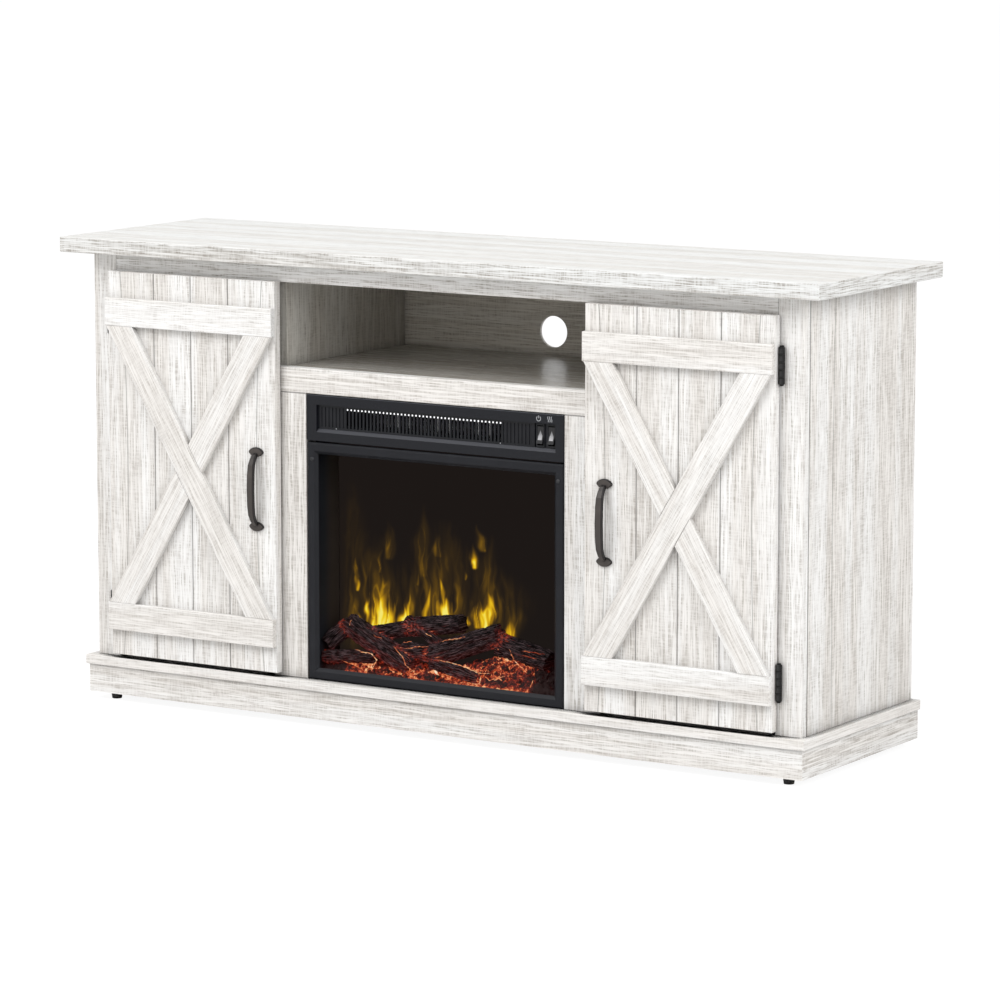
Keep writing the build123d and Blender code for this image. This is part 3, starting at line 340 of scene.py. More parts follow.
def laminate(name, direction, shift, wear=1.0, shade=(1, 1, 1), lines=(), edge_wear=0.0, corner_shade=0.60,
             painted_front_shade=None, shade_reach=0.015, gap_shadow=False, roughness=(0.52, 0.68)):
    """Whitewashed oak print whose grain follows direction; shift moves the print along itself."""
    finish = Finish(name, Specular_IOR_Level=0.25)
    grain = finish.put("Mapping", {"Vector": direction(finish), "Location": shift})
    bands = finish.speckle((27, 27, 0.9), 3.0, at=grain).ramp(0.38, 0.62)
    fibres = finish.speckle((330, 330, 9), 4.0, 0.65, grain).ramp(0.40, 0.66)
    strokes = finish.speckle((640, 640, 22), 3.0, 0.6, grain).ramp(0.46, 0.66)
    saw = finish.speckle((60, 60, 460), at=grain).ramp(0.40, 0.60)
    tones = (paint_white, paint_worn, grain_grey)
    white, worn, grey = [[a * b for a, b in zip(shade, tone)] for tone in tones]
    colour = bands.blend(white, worn)
    faint = bands.span(0.18 * wear, 0.44 * wear) * saw.span(0.80, 1.10)
    broken = saw.span(0.30 * wear, 0.60 * wear)
    if edge_wear:
        gain = abs(finish.facing().axis("Z")).span(1.0 + edge_wear, 1.0)
        faint, broken = faint * gain, broken * gain
    colour = (fibres * faint).blend(colour, grey)
    colour = (strokes * broken).blend(colour, grey)
    for darkness, line in lines:
        colour = (printed_line(finish, **line) * darkness).blend(colour, line_ink)
    # Painted shade on the faces that look to the front, for the back of the recess
    if painted_front_shade:
        colour = (finish.facing().axis("Y") < -0.5).blend(colour, painted_front_shade, "MULTIPLY")
    # Painted shade where other surfaces shut the board in, and a painted black shadow in the
    # deepest gaps
    hidden = finish.nook(shade_reach)
    colour = (hidden * corner_shade).blend(colour, corner_shade_tone)
    if gap_shadow:
        colour = hidden.ramp(0.33, 0.50).blend(colour, gap_shadow_tone)
    finish.bump(1.0 - fibres * 0.7, 0.2, 0.0004)
    return finish.set(Base_Color=colour, Roughness=fibres.span(*roughness))


# %% Laminate on the frame
butt_inset = 0.0005
low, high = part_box("top_rail")
rail_butts = [(0.35, dict(axis="X", center=0.0, reach=high.x - butt_inset, z_span=(low.z, high.z)))]
low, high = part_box("firebox_stile_left")
stile_butts = [(0.7, dict(axis="Z", center=high.z - butt_inset, reach=0.0, z_span=(low.z, high.z)))]
# Name of the finish, direction and shift of its print, wear, other settings, and its boards
# The shade settings give painted shade: much on the shelf and ends of the recess, a little on the
# top board and the firebox uprights. The base ledge gets a painted black shadow in the gap under
# the doors.
BOARDS = (
    ("top board", along_x_with_banded_ends, (0.0, 0.3, 0.0), 0.7,
     dict(shade=(0.91, 0.925, 0.93), edge_wear=1.5), "top_panel"),
    ("base ledge", along_x_with_banded_ends, (0.5, 0.1, 0.2), 0.7,
     dict(shade_reach=0.030, gap_shadow=True), "bottom_panel"),
    ("long rails", along_x, (0.7, 0.0, 1.3), 1.05, {},
     "shelf_front_rail base_front base_rear cabinet_shelves"),
    ("top rail", along_x, (0.1, 0.4, 0.7), 1.4, dict(lines=rail_butts, corner_shade=0.3), "top_rail"),
    ("shelf in the recess", along_x, (0.2, 0.5, 0.9), 1.0,
     dict(shade=(0.50, 0.485, 0.455), roughness=(0.20, 0.30)), "media_shelf"),
    ("back of the recess", along_x, (1.4, 0.2, 0.3), 1.2,
     dict(painted_front_shade=(0.86, 0.83, 0.77)), "back_panel_center"),
    ("back boards", along_x, (1.1, 0.4, 0.6), 0.6, {}, "back_panel_left back_panel_right"),
    ("plinth ends", along_y, (0.2, 0.9, 0.4), 1.4, {}, "base_sides"),
    ("uprights", along_z, (0.1, 0.6, 2.1), 1.1, dict(corner_shade=0.25),
     "front_stile_left front_stile_right"),
    ("firebox uprights", along_z, (0.8, 0.2, 1.6), 1.25,
     dict(shade=(0.96, 0.96, 0.96), lines=stile_butts), "firebox_stile_left firebox_stile_right"),
    ("recess ends", along_z, (0.6, 0.3, 1.1), 1.2,
     dict(shade=(0.66, 0.645, 0.605)), "partition_left partition_right"),
)
for name, direction, shift, wear, settings, boards in BOARDS:
    dress(laminate(name, direction, shift, wear, **settings), boards)
print("laminate on", len(BOARDS), "groups of frame boards")

# %% Laminate on the doors and sides
for side, word in ((-1, "left"), (1, "right")):
    low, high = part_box(f"door_panel_{word}")
    at = dict(axis="X", center=(low.x + high.x) / 2, z_span=(low.z, high.z))
    lines = [(0.55, dict(at, reach=0.0)), (0.55, dict(at, reach=0.071)),
             (0.45, dict(at, reach=0.136, bow=0.012))]
    dress(laminate(f"planks {word}", along_z, (0.4, 0.2 * side, 0.8), 1.1, lines=lines, corner_shade=0.30),
          f"door_panel_{word}")
    dress(laminate(f"battens {word}", along_x, (0.3, 0.5 * side, 0.2), 0.95),
          f"door_battens_{word}")
    dress(laminate(f"braces {word}", along_braces(side), (0.9, 0.1, 0.5), 0.9),
          f"door_braces_{word}")
low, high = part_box("side_panel_right")
at = dict(axis="Y", center=low.y, z_span=(low.z, high.z))
lines = [(0.85, dict(at, reach=0.0, width=0.0016)), (0.45, dict(at, reach=0.077, bow=0.004))]
# The long shade reach paints the shadow of the top's overhang on the upper sides
dress(laminate("sides", along_z, (0.5, 0.8, 0.1), 1.3, lines=lines, shade_reach=0.050),
      "side_panel_left side_panel_right")
print("laminate on", sum("panel" in name for name in nodes), "panels and their frames")

# %% [markdown]
# ## Blocks and small hardware
# The glue blocks under the plinth are raw pine, the glides black plastic, and the pulls and hinges
# dark coated steel with a little wear. These coats differ only in tone, gloss and wear, so one
# function makes them all. Faces that look aside or up get painted shade, and dark rings mark where
# the knuckles of a hinge meet.


# %% Coats with their own texture
def coated(name, colour, scuff, roughness, metallic=0.0, specular=0.5, grain=900,
           turned=None, rings=None):
    """Fine orange peel with worn patches; turned is a painted shade tone for faces that look aside
    or up.
    """
    finish = Finish(name, Metallic=metallic, Specular_IOR_Level=specular)
    patch = finish.speckle(38, 3.0).ramp(0.42, 0.72)
    fine = finish.speckle(grain)
    tone = (patch * fine).blend(colour, scuff)
    # Painted shade on faces that look aside or up
    if turned:
        facing = finish.facing()
        aside = abs(facing.axis("X")) + facing.axis("Z").step("MAXIMUM") * 0.85
        tone = aside.ramp(0.0, 0.9).blend(tone, turned)
    if rings:
        tone = rings(finish).blend(tone, (0.002, 0.002, 0.002))
    finish.bump(fine, 0.08, 0.0003)
    return finish.set(Base_Color=tone, Roughness=patch.span(roughness, min(1.0, roughness * 1.25)))


def knuckle_rings(finish):
    """Dark rings where the knuckles of the upper and lower hinges meet."""
    low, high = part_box("hinge_frame_leaves")
    knuckles, pitch, play = 5, 0.0111, 0.0003
    barrel = knuckles * pitch - play
    height = finish.spot().axis("Z")
    start = (height > (low.z + high.z) / 2).span(low.z, high.z - barrel)
    gap = (height - start).step("PINGPONG", pitch / 2)
    return 1.0 - gap.ramp(0.0010, 0.0022)


# %% Hardware finishes
bronze = coated("dark bronze", (0.062, 0.054, 0.050), (0.100, 0.086, 0.078), 0.42, 0.35, 0.4,
                turned=(0.012, 0.010, 0.010))
dress(bronze, "handle_left handle_right")
hinge_black = coated("hinge black", (0.032, 0.032, 0.033), (0.060, 0.059, 0.060), 0.36, 0.0, 0.3,
                     turned=(0.005, 0.005, 0.005), rings=knuckle_rings)
dress(hinge_black, "hinge_frame_leaves hinge_pins hinge_door_leaves_left hinge_door_leaves_right")
zinc = coated("zinc plate", (0.55, 0.56, 0.57), (0.40, 0.41, 0.43), 0.33, 0.9, 0.5, 260)
dress(zinc, "shelf_pins strike_plate_left strike_plate_right insert_brackets "
            "blower_housing blower_motor flame_motor")
dress(coated("glide plastic", (0.012, 0.012, 0.012), (0.03, 0.03, 0.03), 0.5), "feet")
dress(coated("catch plastic", (0.68, 0.67, 0.64), (0.58, 0.57, 0.54), 0.5), "magnetic_catches")
dress(coated("gland rubber", (0.014, 0.014, 0.014), (0.03, 0.03, 0.03), 0.7, 0.0, 0.3),
      "cord_gland")
dress(coated("bright aluminium", (0.72, 0.72, 0.72), (0.60, 0.60, 0.61), 0.25, 1.0),
      "flame_rotor blower_wheel heating_element")
dress(coated("solder mask", (0.03, 0.16, 0.06), (0.02, 0.11, 0.04), 0.35), "light_board")
pine = Finish("raw pine", Roughness=0.8)
growth = pine.speckle((90, 90, 6), 3.0).ramp(0.35, 0.7)
dress(pine.set(Base_Color=growth.blend((0.68, 0.50, 0.29), (0.50, 0.33, 0.16))), "base_blocks")
print("hardware finishes done")

# %% [markdown]
# ## Firebox shell, bezel and glass
# The insert is black: a satin powder coat on the sheet and frame, a finer moulded texture on the
# bezel and grille, and gloss on the rockers. A low specular level keeps the white room from
# turning the black grey. The glass is thin and smoky, and only dims the fire a little.

# %% Insert finishes
insert_black = coated("insert black", (0.0085, 0.0092, 0.0125), (0.013, 0.014, 0.018),
                      0.42, 0.0, 0.24)
dress(insert_black, "window_frame firebox_back heater_deck")
bezel_black = coated("bezel black", (0.0060, 0.0066, 0.0092), (0.010, 0.011, 0.0145),
                     0.36, 0.0, 0.28)
dress(bezel_black, "outlet_grille switch_bodies")

# The liner is blue black by the glass, and brown towards the screen, painted light from the flames
liner = Finish("sooty liner", Roughness=0.55, Specular_IOR_Level=0.15)
front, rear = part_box("window_glass")[1].y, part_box("flame_screen")[0].y
depth = liner.spot().axis("Y").ramp(front + 0.25 * (rear - front), front + 0.75 * (rear - front))
tone = depth.blend((0.0135, 0.0145, 0.0180), (0.033, 0.0255, 0.0205))
dress(liner.set(Base_Color=tone), "firebox_wrap")

# Faces of the bezel that look up, such as the sill of the outlet, get a paler painted highlight
sill_highlight = Finish("lipped black", Specular_IOR_Level=0.28, Roughness=0.36)
level = sill_highlight.facing().axis("Z").ramp(0.2, 0.6)
fine = sill_highlight.speckle(700)
tone = fine.blend((0.0050, 0.0056, 0.0085), (0.0085, 0.0095, 0.0135))
tone = level.blend(tone, (0.046, 0.048, 0.057))
sill_highlight.bump(fine, 0.08, 0.0003)
dress(sill_highlight.set(Base_Color=tone), "face_bezel")

# The pane and the screen behind it are both a little uneven
glass = Finish("tinted glass", Base_Color=(0.0, 0.0, 0.0), Roughness=0.05, Specular_IOR_Level=0.0)
dress(glass.set(Alpha=glass.speckle(12).span(0.03, 0.07)), "window_glass")
screen = Finish("smoked screen", Roughness=0.6, Specular_IOR_Level=0.1)
tone = screen.speckle((9, 9, 5), 3.0).blend((0.012, 0.009, 0.008), (0.020, 0.014, 0.011))
dress(screen.set(Base_Color=tone), "flame_screen")
print("insert finishes done")

# %% Rockers
# Moulded caps with a painted highlight below the middle: an arch with a point on top
glint_foot, glint_shoulder, glint_slope = 0.0060, 0.0055, 0.38
gloss = Finish("rocker gloss", Roughness=0.18, Specular_IOR_Level=0.5)
spot = gloss.spot()
glints = []
for name in ("power_switch", "heat_switch"):
    low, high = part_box(name)
    off = abs(spot.axis("X") - (low.x + high.x) / 2)
    height = spot.axis("Z") - (low.z + glint_foot)
    point = (height - glint_shoulder).step("MAXIMUM") * glint_slope
    arch = 1.0 - (off + point).ramp(0.0028, 0.0040)
    glints.append(arch * height.ramp(-0.0005, 0.0005) * height.span(1.0, 0.35, 0.0, 0.014))
glint = glints[0].step("MAXIMUM", glints[1])
# The painted highlight is pale grey on the black cap
tone = glint.blend((0.007, 0.007, 0.009), (0.46, 0.46, 0.48))
dress(gloss.set(Base_Color=tone), "power_switch heat_switch")
print("rockers with", len(glints), "thumb pads")

# %% [markdown]
# ## Flame picture
# Turning foil flags throw streaks of light on the back of the screen. From the front that reads as
# flames: bright feet just above the logs and thin tongues that fade to olive smoke. Noise alone
# would put them anywhere, so each tongue is one row of a table. It paints its brightness into a
# colour layer on a fine sheet that lies on the screen.

# %% Tongues of flame
mm = 0.001
screen_low, screen_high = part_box("flame_screen")
# Foot X, foot height, length, width, lean of the tip, brightness (millimetres; brightness 0 to 1)
TONGUES = (
    (-184, 206, 30, 9, -3, 0.95), (-186, 226, 34, 11, -4, 0.42), (-183, 150, 22, 7, 0, 0.75),
    (-196, 160, 70, 26, -6, 0.22), (-168, 158, 38, 13, 0, 0.80), (-158, 165, 32, 12, -2, 0.95),
    (-150, 150, 60, 32, -4, 1.00), (-138, 150, 62, 36, 4, 1.10), (-121, 152, 42, 12, 2, 0.85),
    (-142, 175, 75, 34, -8, 0.40), (-146, 238, 40, 9, 6, 0.30), (-128, 262, 52, 20, 2, 0.26),
    (-97, 158, 56, 21, 11, 1.05), (-88, 165, 70, 24, 6, 0.30), (-63, 240, 98, 26, 0, 0.22),
    (-62, 168, 66, 8, 9, 0.62), (-72, 225, 60, 9, 8, 0.30), (-52, 172, 90, 26, 0, 0.26),
    (-19, 178, 34, 26, -7, 1.12), (-25, 198, 42, 8, -9, 0.85), (-37, 178, 34, 18, 2, 0.46),
    (-36, 272, 34, 22, 0, 0.22), (-2, 180, 66, 22, -4, 0.28), (12, 166, 18, 14, 8, 0.66),
    (30, 260, 34, 12, -2, 0.72), (44, 288, 36, 12, -8, 0.34), (14, 240, 14, 6, 0, 0.32),
    (36, 168, 44, 22, 4, 0.64), (52, 164, 64, 24, 4, 0.88), (64, 176, 48, 10, 0, 0.74),
    (50, 190, 110, 36, 6, 0.20), (97, 150, 40, 20, -4, 0.62), (100, 165, 60, 30, 0, 0.24),
    (-150, 150, 130, 84, 0, 0.24), (-30, 160, 150, 110, 0, 0.20), (60, 155, 120, 84, 0, 0.22),
    (-196, 120, 230, 80, 0, 0.14),
)
print(len(TONGUES), "tongues of flame")


# %% Light of the tongues
def waver(x, z, cross, up, seed):
    """A smooth wander from -1 to 1 over arrays of points; cross and up in cycles per millimetre."""
    spots = zip((x * cross).ravel(), (z * up).ravel())
    return np.array([noise.noise(Vector((a, b, seed))) for a, b in spots]).reshape(x.shape)


def brightness_at(x, z):
    """Light of all the tongues on arrays of points, in millimetres."""
    bent = x + 5.0 * waver(x, z, 0.030, 0.024, 1.7) + 2.6 * waver(x, z, 0.085, 0.060, 5.1)
    threads = np.clip(1.0 - np.abs(waver(bent, z, 0.11, 0.020, 13.7)) / 0.17, 0, 1)
    strands = np.clip(0.64 + 0.72 * waver(bent, z, 0.15, 0.022, 9.3) + 0.42 * threads, 0.12, 1.35)
    total = np.zeros_like(x)
    for index, (foot_x, foot_z, length, width, lean, peak) in enumerate(TONGUES):
        climb = (z - foot_z) / length
        inside = np.clip(climb, 0, 1)
        sway = lean * inside + 0.10 * width * np.sin(7.0 * inside + 1.9 * index)
        taper = width * (0.24 + 0.76 * np.sin(np.pi * np.clip(0.22 + 0.76 * inside, 0, 1)))
        body = np.exp(-(np.abs(bent - foot_x - sway) / (0.5 * taper)) ** 2.2)
        rise = np.clip(climb / 0.10 + 1, 0, 1) * np.clip((1.15 - climb) / 0.75, 0, 1)
        light = peak * body * rise * strands
        total = np.maximum(total, light) + 0.06 * light
    return np.clip(1.10 * total, 0, 1.15)


def flame_colours(light):
    """Brown dusk, olive smoke, then gold, then a pale yellow heart."""
    stops = (0.0, 0.14, 0.30, 0.50, 0.70, 0.88, 1.15)
    # Dusk without any light, then what the light adds at each stop, for red, green and blue
    curves = ((0.0136, (0.0, 0.028, 0.12, 0.40, 0.76, 0.96, 1.00)),
              (0.0103, (0.0, 0.015, 0.060, 0.205, 0.43, 0.68, 0.88)),
              (0.0090, (0.0, 0.001, 0.001, 0.001, 0.003, 0.012, 0.17)))
    channels = [np.interp(light, stops, added) + dusk for dusk, added in curves]
    return np.stack([*channels, np.ones_like(light)], axis=-1)


# %% Paint the sheet
def flame_sheet(step=1.4, margin=1.0, foot=30.0, gap=0.4, fade=24.0, edge_light=0.15):
    """A fine grid just in front of the screen, with the flame light in a colour layer."""
    across = np.arange(screen_low.x / mm + margin, screen_high.x / mm - margin, step)
    up = np.arange(screen_low.z / mm + foot, screen_high.z / mm - margin, step)
    x, z = np.meshgrid(across, up)
    points = np.stack([x, np.full_like(x, screen_low.y / mm - gap), z], axis=-1) * mm
    grid = np.arange(x.size).reshape(x.shape)
    faces = np.stack([grid[:-1, :-1], grid[:-1, 1:], grid[1:, 1:], grid[1:, :-1]], axis=-1)
    mesh = bpy.data.meshes.new("flame_picture")
    mesh.from_pydata(points.reshape(-1, 3).tolist(), [], faces.reshape(-1, 4).tolist())
    light = brightness_at(x, z) * np.clip((x - across[0]) / fade, edge_light, 1)
    layer = mesh.color_attributes.new("flame_colour", "FLOAT_COLOR", "POINT")
    layer.data.foreach_set("color", flame_colours(light).astype(np.float32).ravel())
    return mesh


def add_piece(name, mesh, body, finish=None):
    """Put a finished mesh in the scene, on a body, with the slot its finish comes from."""
    piece = bpy.data.objects.new(name, mesh)
    scene.collection.objects.link(piece)
    if finish:
        mesh.materials.clear()
        mesh.materials.append(finish.material)
    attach(piece, body)
    return piece


flame_light = Finish("flame light", Base_Color=(0.0, 0.0, 0.0), Roughness=0.7,
                     Specular_IOR_Level=0.0, Emission_Strength=1.0)
painted = flame_light.put("VertexColor", out="Color", layer_name="flame_colour")
flame_light.set(Emission_Color=painted)
sheet = add_piece("flame_picture", flame_sheet(), "cabinet", flame_light)
print("flame picture", len(sheet.data.vertices), "points")

# %% [markdown]
# ## Charred logs
# The log set is a painted casting of split logs in a loose pile. Logs sculpted by hand would be
# hard to move, so each is a tube of rings along its axis, roughened by bark ridges that run with
# the wood. Its colour is burnt brown with violet greys, and cracks glow near the embers. Red light
# of the embers on the undersides is painted in as glow.

# %% Where the logs lie
fire_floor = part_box("window_frame")[0].z
glass_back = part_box("window_glass")[1].y
wall_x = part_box("flame_screen")[1].x
wall_gap = 0.001
# Start and end of each log as X, depth behind the face and height above the console floor, then its
# radius and how much painted red light of the embers falls on its underside
LOGS = (
    ((-186, 48, 84), (-59, 33, 30), 18.0, 0.95), ((-190, 48, 80), (-217, 31, 54), 14.5, 0.25),
    ((-217, 25, 33), (-126, 26, 41), 10.5, 0.35), ((-150, 51, 69), (-64, 53, 90), 13.5, 0.4),
    ((-78, 48, 101), (-14, 39, 70), 8.5, 0.3), ((-72, 52, 89), (20, 52, 103), 15.0, 0.35),
    ((-20, 34, 52), (92, 44, 93), 18.5, 0.6), ((91, 48, 79), (181, 46, 59), 18.0, 0.4),
    ((-19, 24, 43), (67, 24, 25), 10.0, 0.5), ((-82, 41, 54), (-9, 38, 52), 13.0, 0.9),
)
rings, around = 84, 56
print(len(LOGS), "logs of", rings * around, "faces each")


def fire_point(point):
    """A point of the fire in the console's axes, metres."""
    return Vector((point[0] * mm, face_y + point[1] * mm, fire_floor + point[2] * mm))


def around_axis(reach, turn, along):
    """A point by its distance from an axis, its angle round it and its way along it."""
    return Vector((reach * math.cos(turn), reach * math.sin(turn), along))


def as_mesh(shape, name):
    """A finished mesh from a shape under construction."""
    mesh = bpy.data.meshes.new(name)
    shape.to_mesh(mesh)
    shape.free()
    return mesh


# %% One log
def bark(seed, turn, run):
    """Stand of the skin off the axis, as a share of the radius, and depth of the crack here."""
    ridge = noise.noise(around_axis(2.2, turn, 8.0 * run + 7.3 * seed))
    split = noise.noise(around_axis(4.6, turn, 15.0 * run + 3.1 * seed))
    check = noise.noise(around_axis(1.9, turn, 62.0 * run + 9.7 * seed))
    flake = noise.noise(around_axis(12, turn, 130.0 * run + 5.7 * seed))
    along = math.exp(-(split / 0.075) ** 2)
    across = math.exp(-(check / 0.06) ** 2)
    stand = 0.98 + 0.17 * ridge - 0.17 * along - 0.08 * across + 0.07 * flake
    return stand, max(along, 0.6 * across)


def log_mesh(target, seed, start, end, radius, ragged=0.22, bulge=0.05):
    """Add one log to a shape under construction, with its skin map and its crack depth."""
    first, last = fire_point(start), fire_point(end)
    axis = last - first
    length, to_log = axis.length, axis.to_track_quat("Z", "Y").to_matrix()
    layer = target.loops.layers.uv.verify()
    cracks = target.verts.layers.float.get("crack") or target.verts.layers.float.new("crack")
    rows = [[] for _ in range(rings + 1)]
    for ring, row in enumerate(rows):
        share = ring / rings
        for step in range(around):
            turn = 2 * math.pi * step / around
            stand, depth = bark(seed, turn, share * length)
            tear = ragged * radius * mm * noise.noise(around_axis(2.4, turn, seed))
            along = share * length + tear * (2 * share - 1)
            spot = first + to_log @ around_axis(radius * mm * stand, turn, along)
            spot.x = min(max(spot.x, -wall_x + wall_gap), wall_x - wall_gap)
            spot.y = min(max(spot.y, glass_back + wall_gap), screen_low.y - wall_gap)
            row.append(target.verts.new(spot))
            row[-1][cracks] = depth
    skin_scale = 10
    for ring in range(rings):
        for step in range(around):
            corners = ((ring, step), (ring, step + 1), (ring + 1, step + 1), (ring + 1, step))
            face = target.faces.new([rows[r][s % around] for r, s in corners])
            for loop, (r, s) in zip(face.loops, corners):
                girth = s / around * 2 * math.pi * radius * mm
                loop[layer].uv = (r / rings * length * skin_scale + seed, girth * skin_scale)
    for row, outward in ((rows[0], -1), (rows[-1], 1)):
        center = sum((v.co for v in row), Vector()) / around
        hub = target.verts.new(center + axis.normalized() * outward * bulge * radius * mm)
        for step in range(around):
            pair = (row[step], row[(step + 1) % around])
            face = target.faces.new((*pair, hub) if outward > 0 else (*reversed(pair), hub))
            for loop in face.loops:
                spot = loop.vert.co
                loop[layer].uv = (seed + 0.3 * spot.x * skin_scale, spot.z * skin_scale)


# %% Char and glowing cracks
def heat_ramp(level, stops):
    """Colour of glowing matter from cold to white hot."""
    glow = level.tree.put("ValToRGB", {0: level})
    elements = glow.socket.node.color_ramp.elements
    elements[0].color = (*stops[0][1], 1)
    elements[1].color = (*stops[-1][1], 1)
    for position, tone in stops[1:-1]:
        elements.new(position).color = (*tone, 1)
    return glow


def charred():
    """Burnt bark, red heat where logs touch, bright cracks, and painted red ember light underneath.
    """
    finish = Finish("charred wood", Roughness=0.85, Specular_IOR_Level=0.08, Emission_Strength=1.0)
    grain = finish.speckle((6, 70, 1), 4.0, 0.65, finish.put("TexCoord", out="UV"))
    colour = grain.ramp(0.45, 0.66).blend((0.0012, 0.0010, 0.0011), (0.115, 0.080, 0.086))
    ash = finish.speckle(90, 3.0).ramp(0.56, 0.78) * 0.5
    contact = finish.layer("contact")
    chosen = finish.speckle(26, 1.0).ramp(0.46, 0.66)
    fleck = finish.speckle(240).ramp(0.36, 0.66)
    seams = finish.layer("crack") ** 5.0 * chosen
    level = seams * contact.span(0.18, 1.0) + contact * fleck * 0.24
    cracks = heat_ramp(level, (
        (0.0, (0, 0, 0)), (0.10, (0.050, 0.006, 0.005)), (0.30, (0.34, 0.040, 0.016)),
        (0.55, (0.80, 0.20, 0.075)), (1.0, (1.0, 0.72, 0.46))))
    # Painted light: undersides reddened as if lit by the embers below
    share = finish.layer("ember_lit_share") ** 1.8 * grain.span(0.12, 1.0, 0.34, 0.70) ** 1.6
    painted_ember_light = share.blend((0, 0, 0), (0.12, 0.011, 0.008))
    both = finish.mix(1.0, cracks, painted_ember_light, "ADD")
    finish.bump(grain, 0.9, 0.0025)
    return finish.set(Base_Color=ash.blend(colour, (0.085, 0.068, 0.074)), Emission_Color=both)


# %% The whole pile
def mark_contacts(mesh):
    """Write how near each point is to another log, and its share of painted ember light, from 0 to
    1.
    """
    points, facing = np.empty((2, len(mesh.vertices) * 3))
    mesh.vertices.foreach_get("co", points)
    mesh.vertices.foreach_get("normal", facing)
    points = points.reshape(-1, 3)
    per_log = len(points) // len(LOGS)
    gap = np.full(len(points), 1.0)
    # Painted ember light falls on faces that look down
    under = np.clip(0.62 - 0.75 * facing.reshape(-1, 3)[:, 2], 0, 1)
    for index, (start, end, radius, redness) in enumerate(LOGS):
        first, last = np.array(fire_point(start)), np.array(fire_point(end))
        axis = last - first
        share = np.clip((points - first) @ axis / (axis @ axis), 0, 1)
        away = np.linalg.norm(points - first - share[:, None] * axis, axis=1) - radius * mm
        own = np.arange(len(points)) // per_log == index
        gap = np.where(own, gap, np.minimum(gap, away))
        under = np.where(own, redness * under, under)
    bed_top, bed_reach, touch_reach = 0.024, 0.010, 0.0022
    near_bed = np.exp(-np.clip(points[:, 2] - fire_floor - bed_top, 0, 1) / bed_reach)
    contact = np.maximum(np.exp(-np.clip(gap, 0, 1) / touch_reach), 0.7 * near_bed)
    for name, values in (("contact", contact), ("ember_lit_share", under)):
        layer = mesh.attributes.new(name, "FLOAT", "POINT")
        layer.data.foreach_set("value", values.astype(np.float32))


shape = bmesh.new()
for seed, (start, end, radius, _) in enumerate(LOGS):
    log_mesh(shape, seed, start, end, radius)
log_pile = as_mesh(shape, "log_pile")
mark_contacts(log_pile)
logs = add_piece("log_pile", log_pile, "cabinet", charred())
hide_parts("log_set")
print("log pile", len(log_pile.polygons), "faces")

# %% [markdown]
# ## Ember bed and loose coals
# Below the logs lies a moulded bed, lit from underneath. Its skin is a field of lumps that rises in
# mounds at the right and left. There are too many loose coals to place by hand, so a node tree
# scatters them: points on the bed, one rough lump on each, turned and sized by a fixed seed.

# %% The bed's skin
bed_low, bed_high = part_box("ember_bed")
bed_front, bed_back = 12.5, 68.0
# The bed climbs from its foot at the glass to the screen, millimetres
foot_depth, foot_rise, bed_run, bed_climb = 12.0, 12.0, 56.0, 20.0
# Cycles per millimetre, then height in millimetres
lump_pitch, lump_height = 0.085, 5.0
grit_pitch, grit_height = 0.20, 2.2
# Middle X, middle depth, width, length and height of each mound, millimetres
MOUNDS = (
    (142, 44, 118, 44, 34), (-176, 38, 74, 44, 14), (-40, 28, 70, 26, 9), (60, 42, 110, 40, 24),
)


def bed_rise(x, depth):
    """Height of the bed above the console floor, millimetres."""
    rise = foot_rise + bed_climb * (depth - foot_depth) / bed_run
    for middle, back, width, length, height in MOUNDS:
        out = ((x - middle) / (0.5 * width)) ** 2 + ((depth - back) / (0.5 * length)) ** 2
        rise += height * math.exp(-1.1 * out)
    cell = noise.voronoi(Vector((x * lump_pitch, depth * lump_pitch, 0.0)))[0]
    rise += lump_height * (0.55 - min(cell[0], 1.0))
    return rise + grit_height * noise.noise(Vector((x * grit_pitch, depth * grit_pitch, 4.0)))


def bed_skin(step=1.6, lift=0.0005):
    """A lumpy closed slab that follows bed_rise."""
    shape = bmesh.new()
    depths = np.arange(bed_front, bed_back, step)
    across = np.arange(bed_low.x / mm + 0.5, bed_high.x / mm - 0.4, step)
    rows = [[shape.verts.new(fire_point((x, d, bed_rise(x, d)))) for x in across] for d in depths]
    for back, front in zip(rows[1:], rows):
        for k in range(len(across) - 1):
            shape.faces.new((front[k], front[k + 1], back[k + 1], back[k]))
    rim = [edge for edge in shape.edges if edge.is_boundary]
    skirt = bmesh.ops.extrude_edge_only(shape, edges=rim)["geom"]
    for vert in (item for item in skirt if isinstance(item, bmesh.types.BMVert)):
        vert.co.z = bed_low.z + lift
    bottom = [edge for edge in shape.edges if edge.is_boundary]
    bmesh.ops.contextual_create(shape, geom=bottom)
    bmesh.ops.recalc_face_normals(shape, faces=shape.faces)
    return as_mesh(shape, "ember_skin")


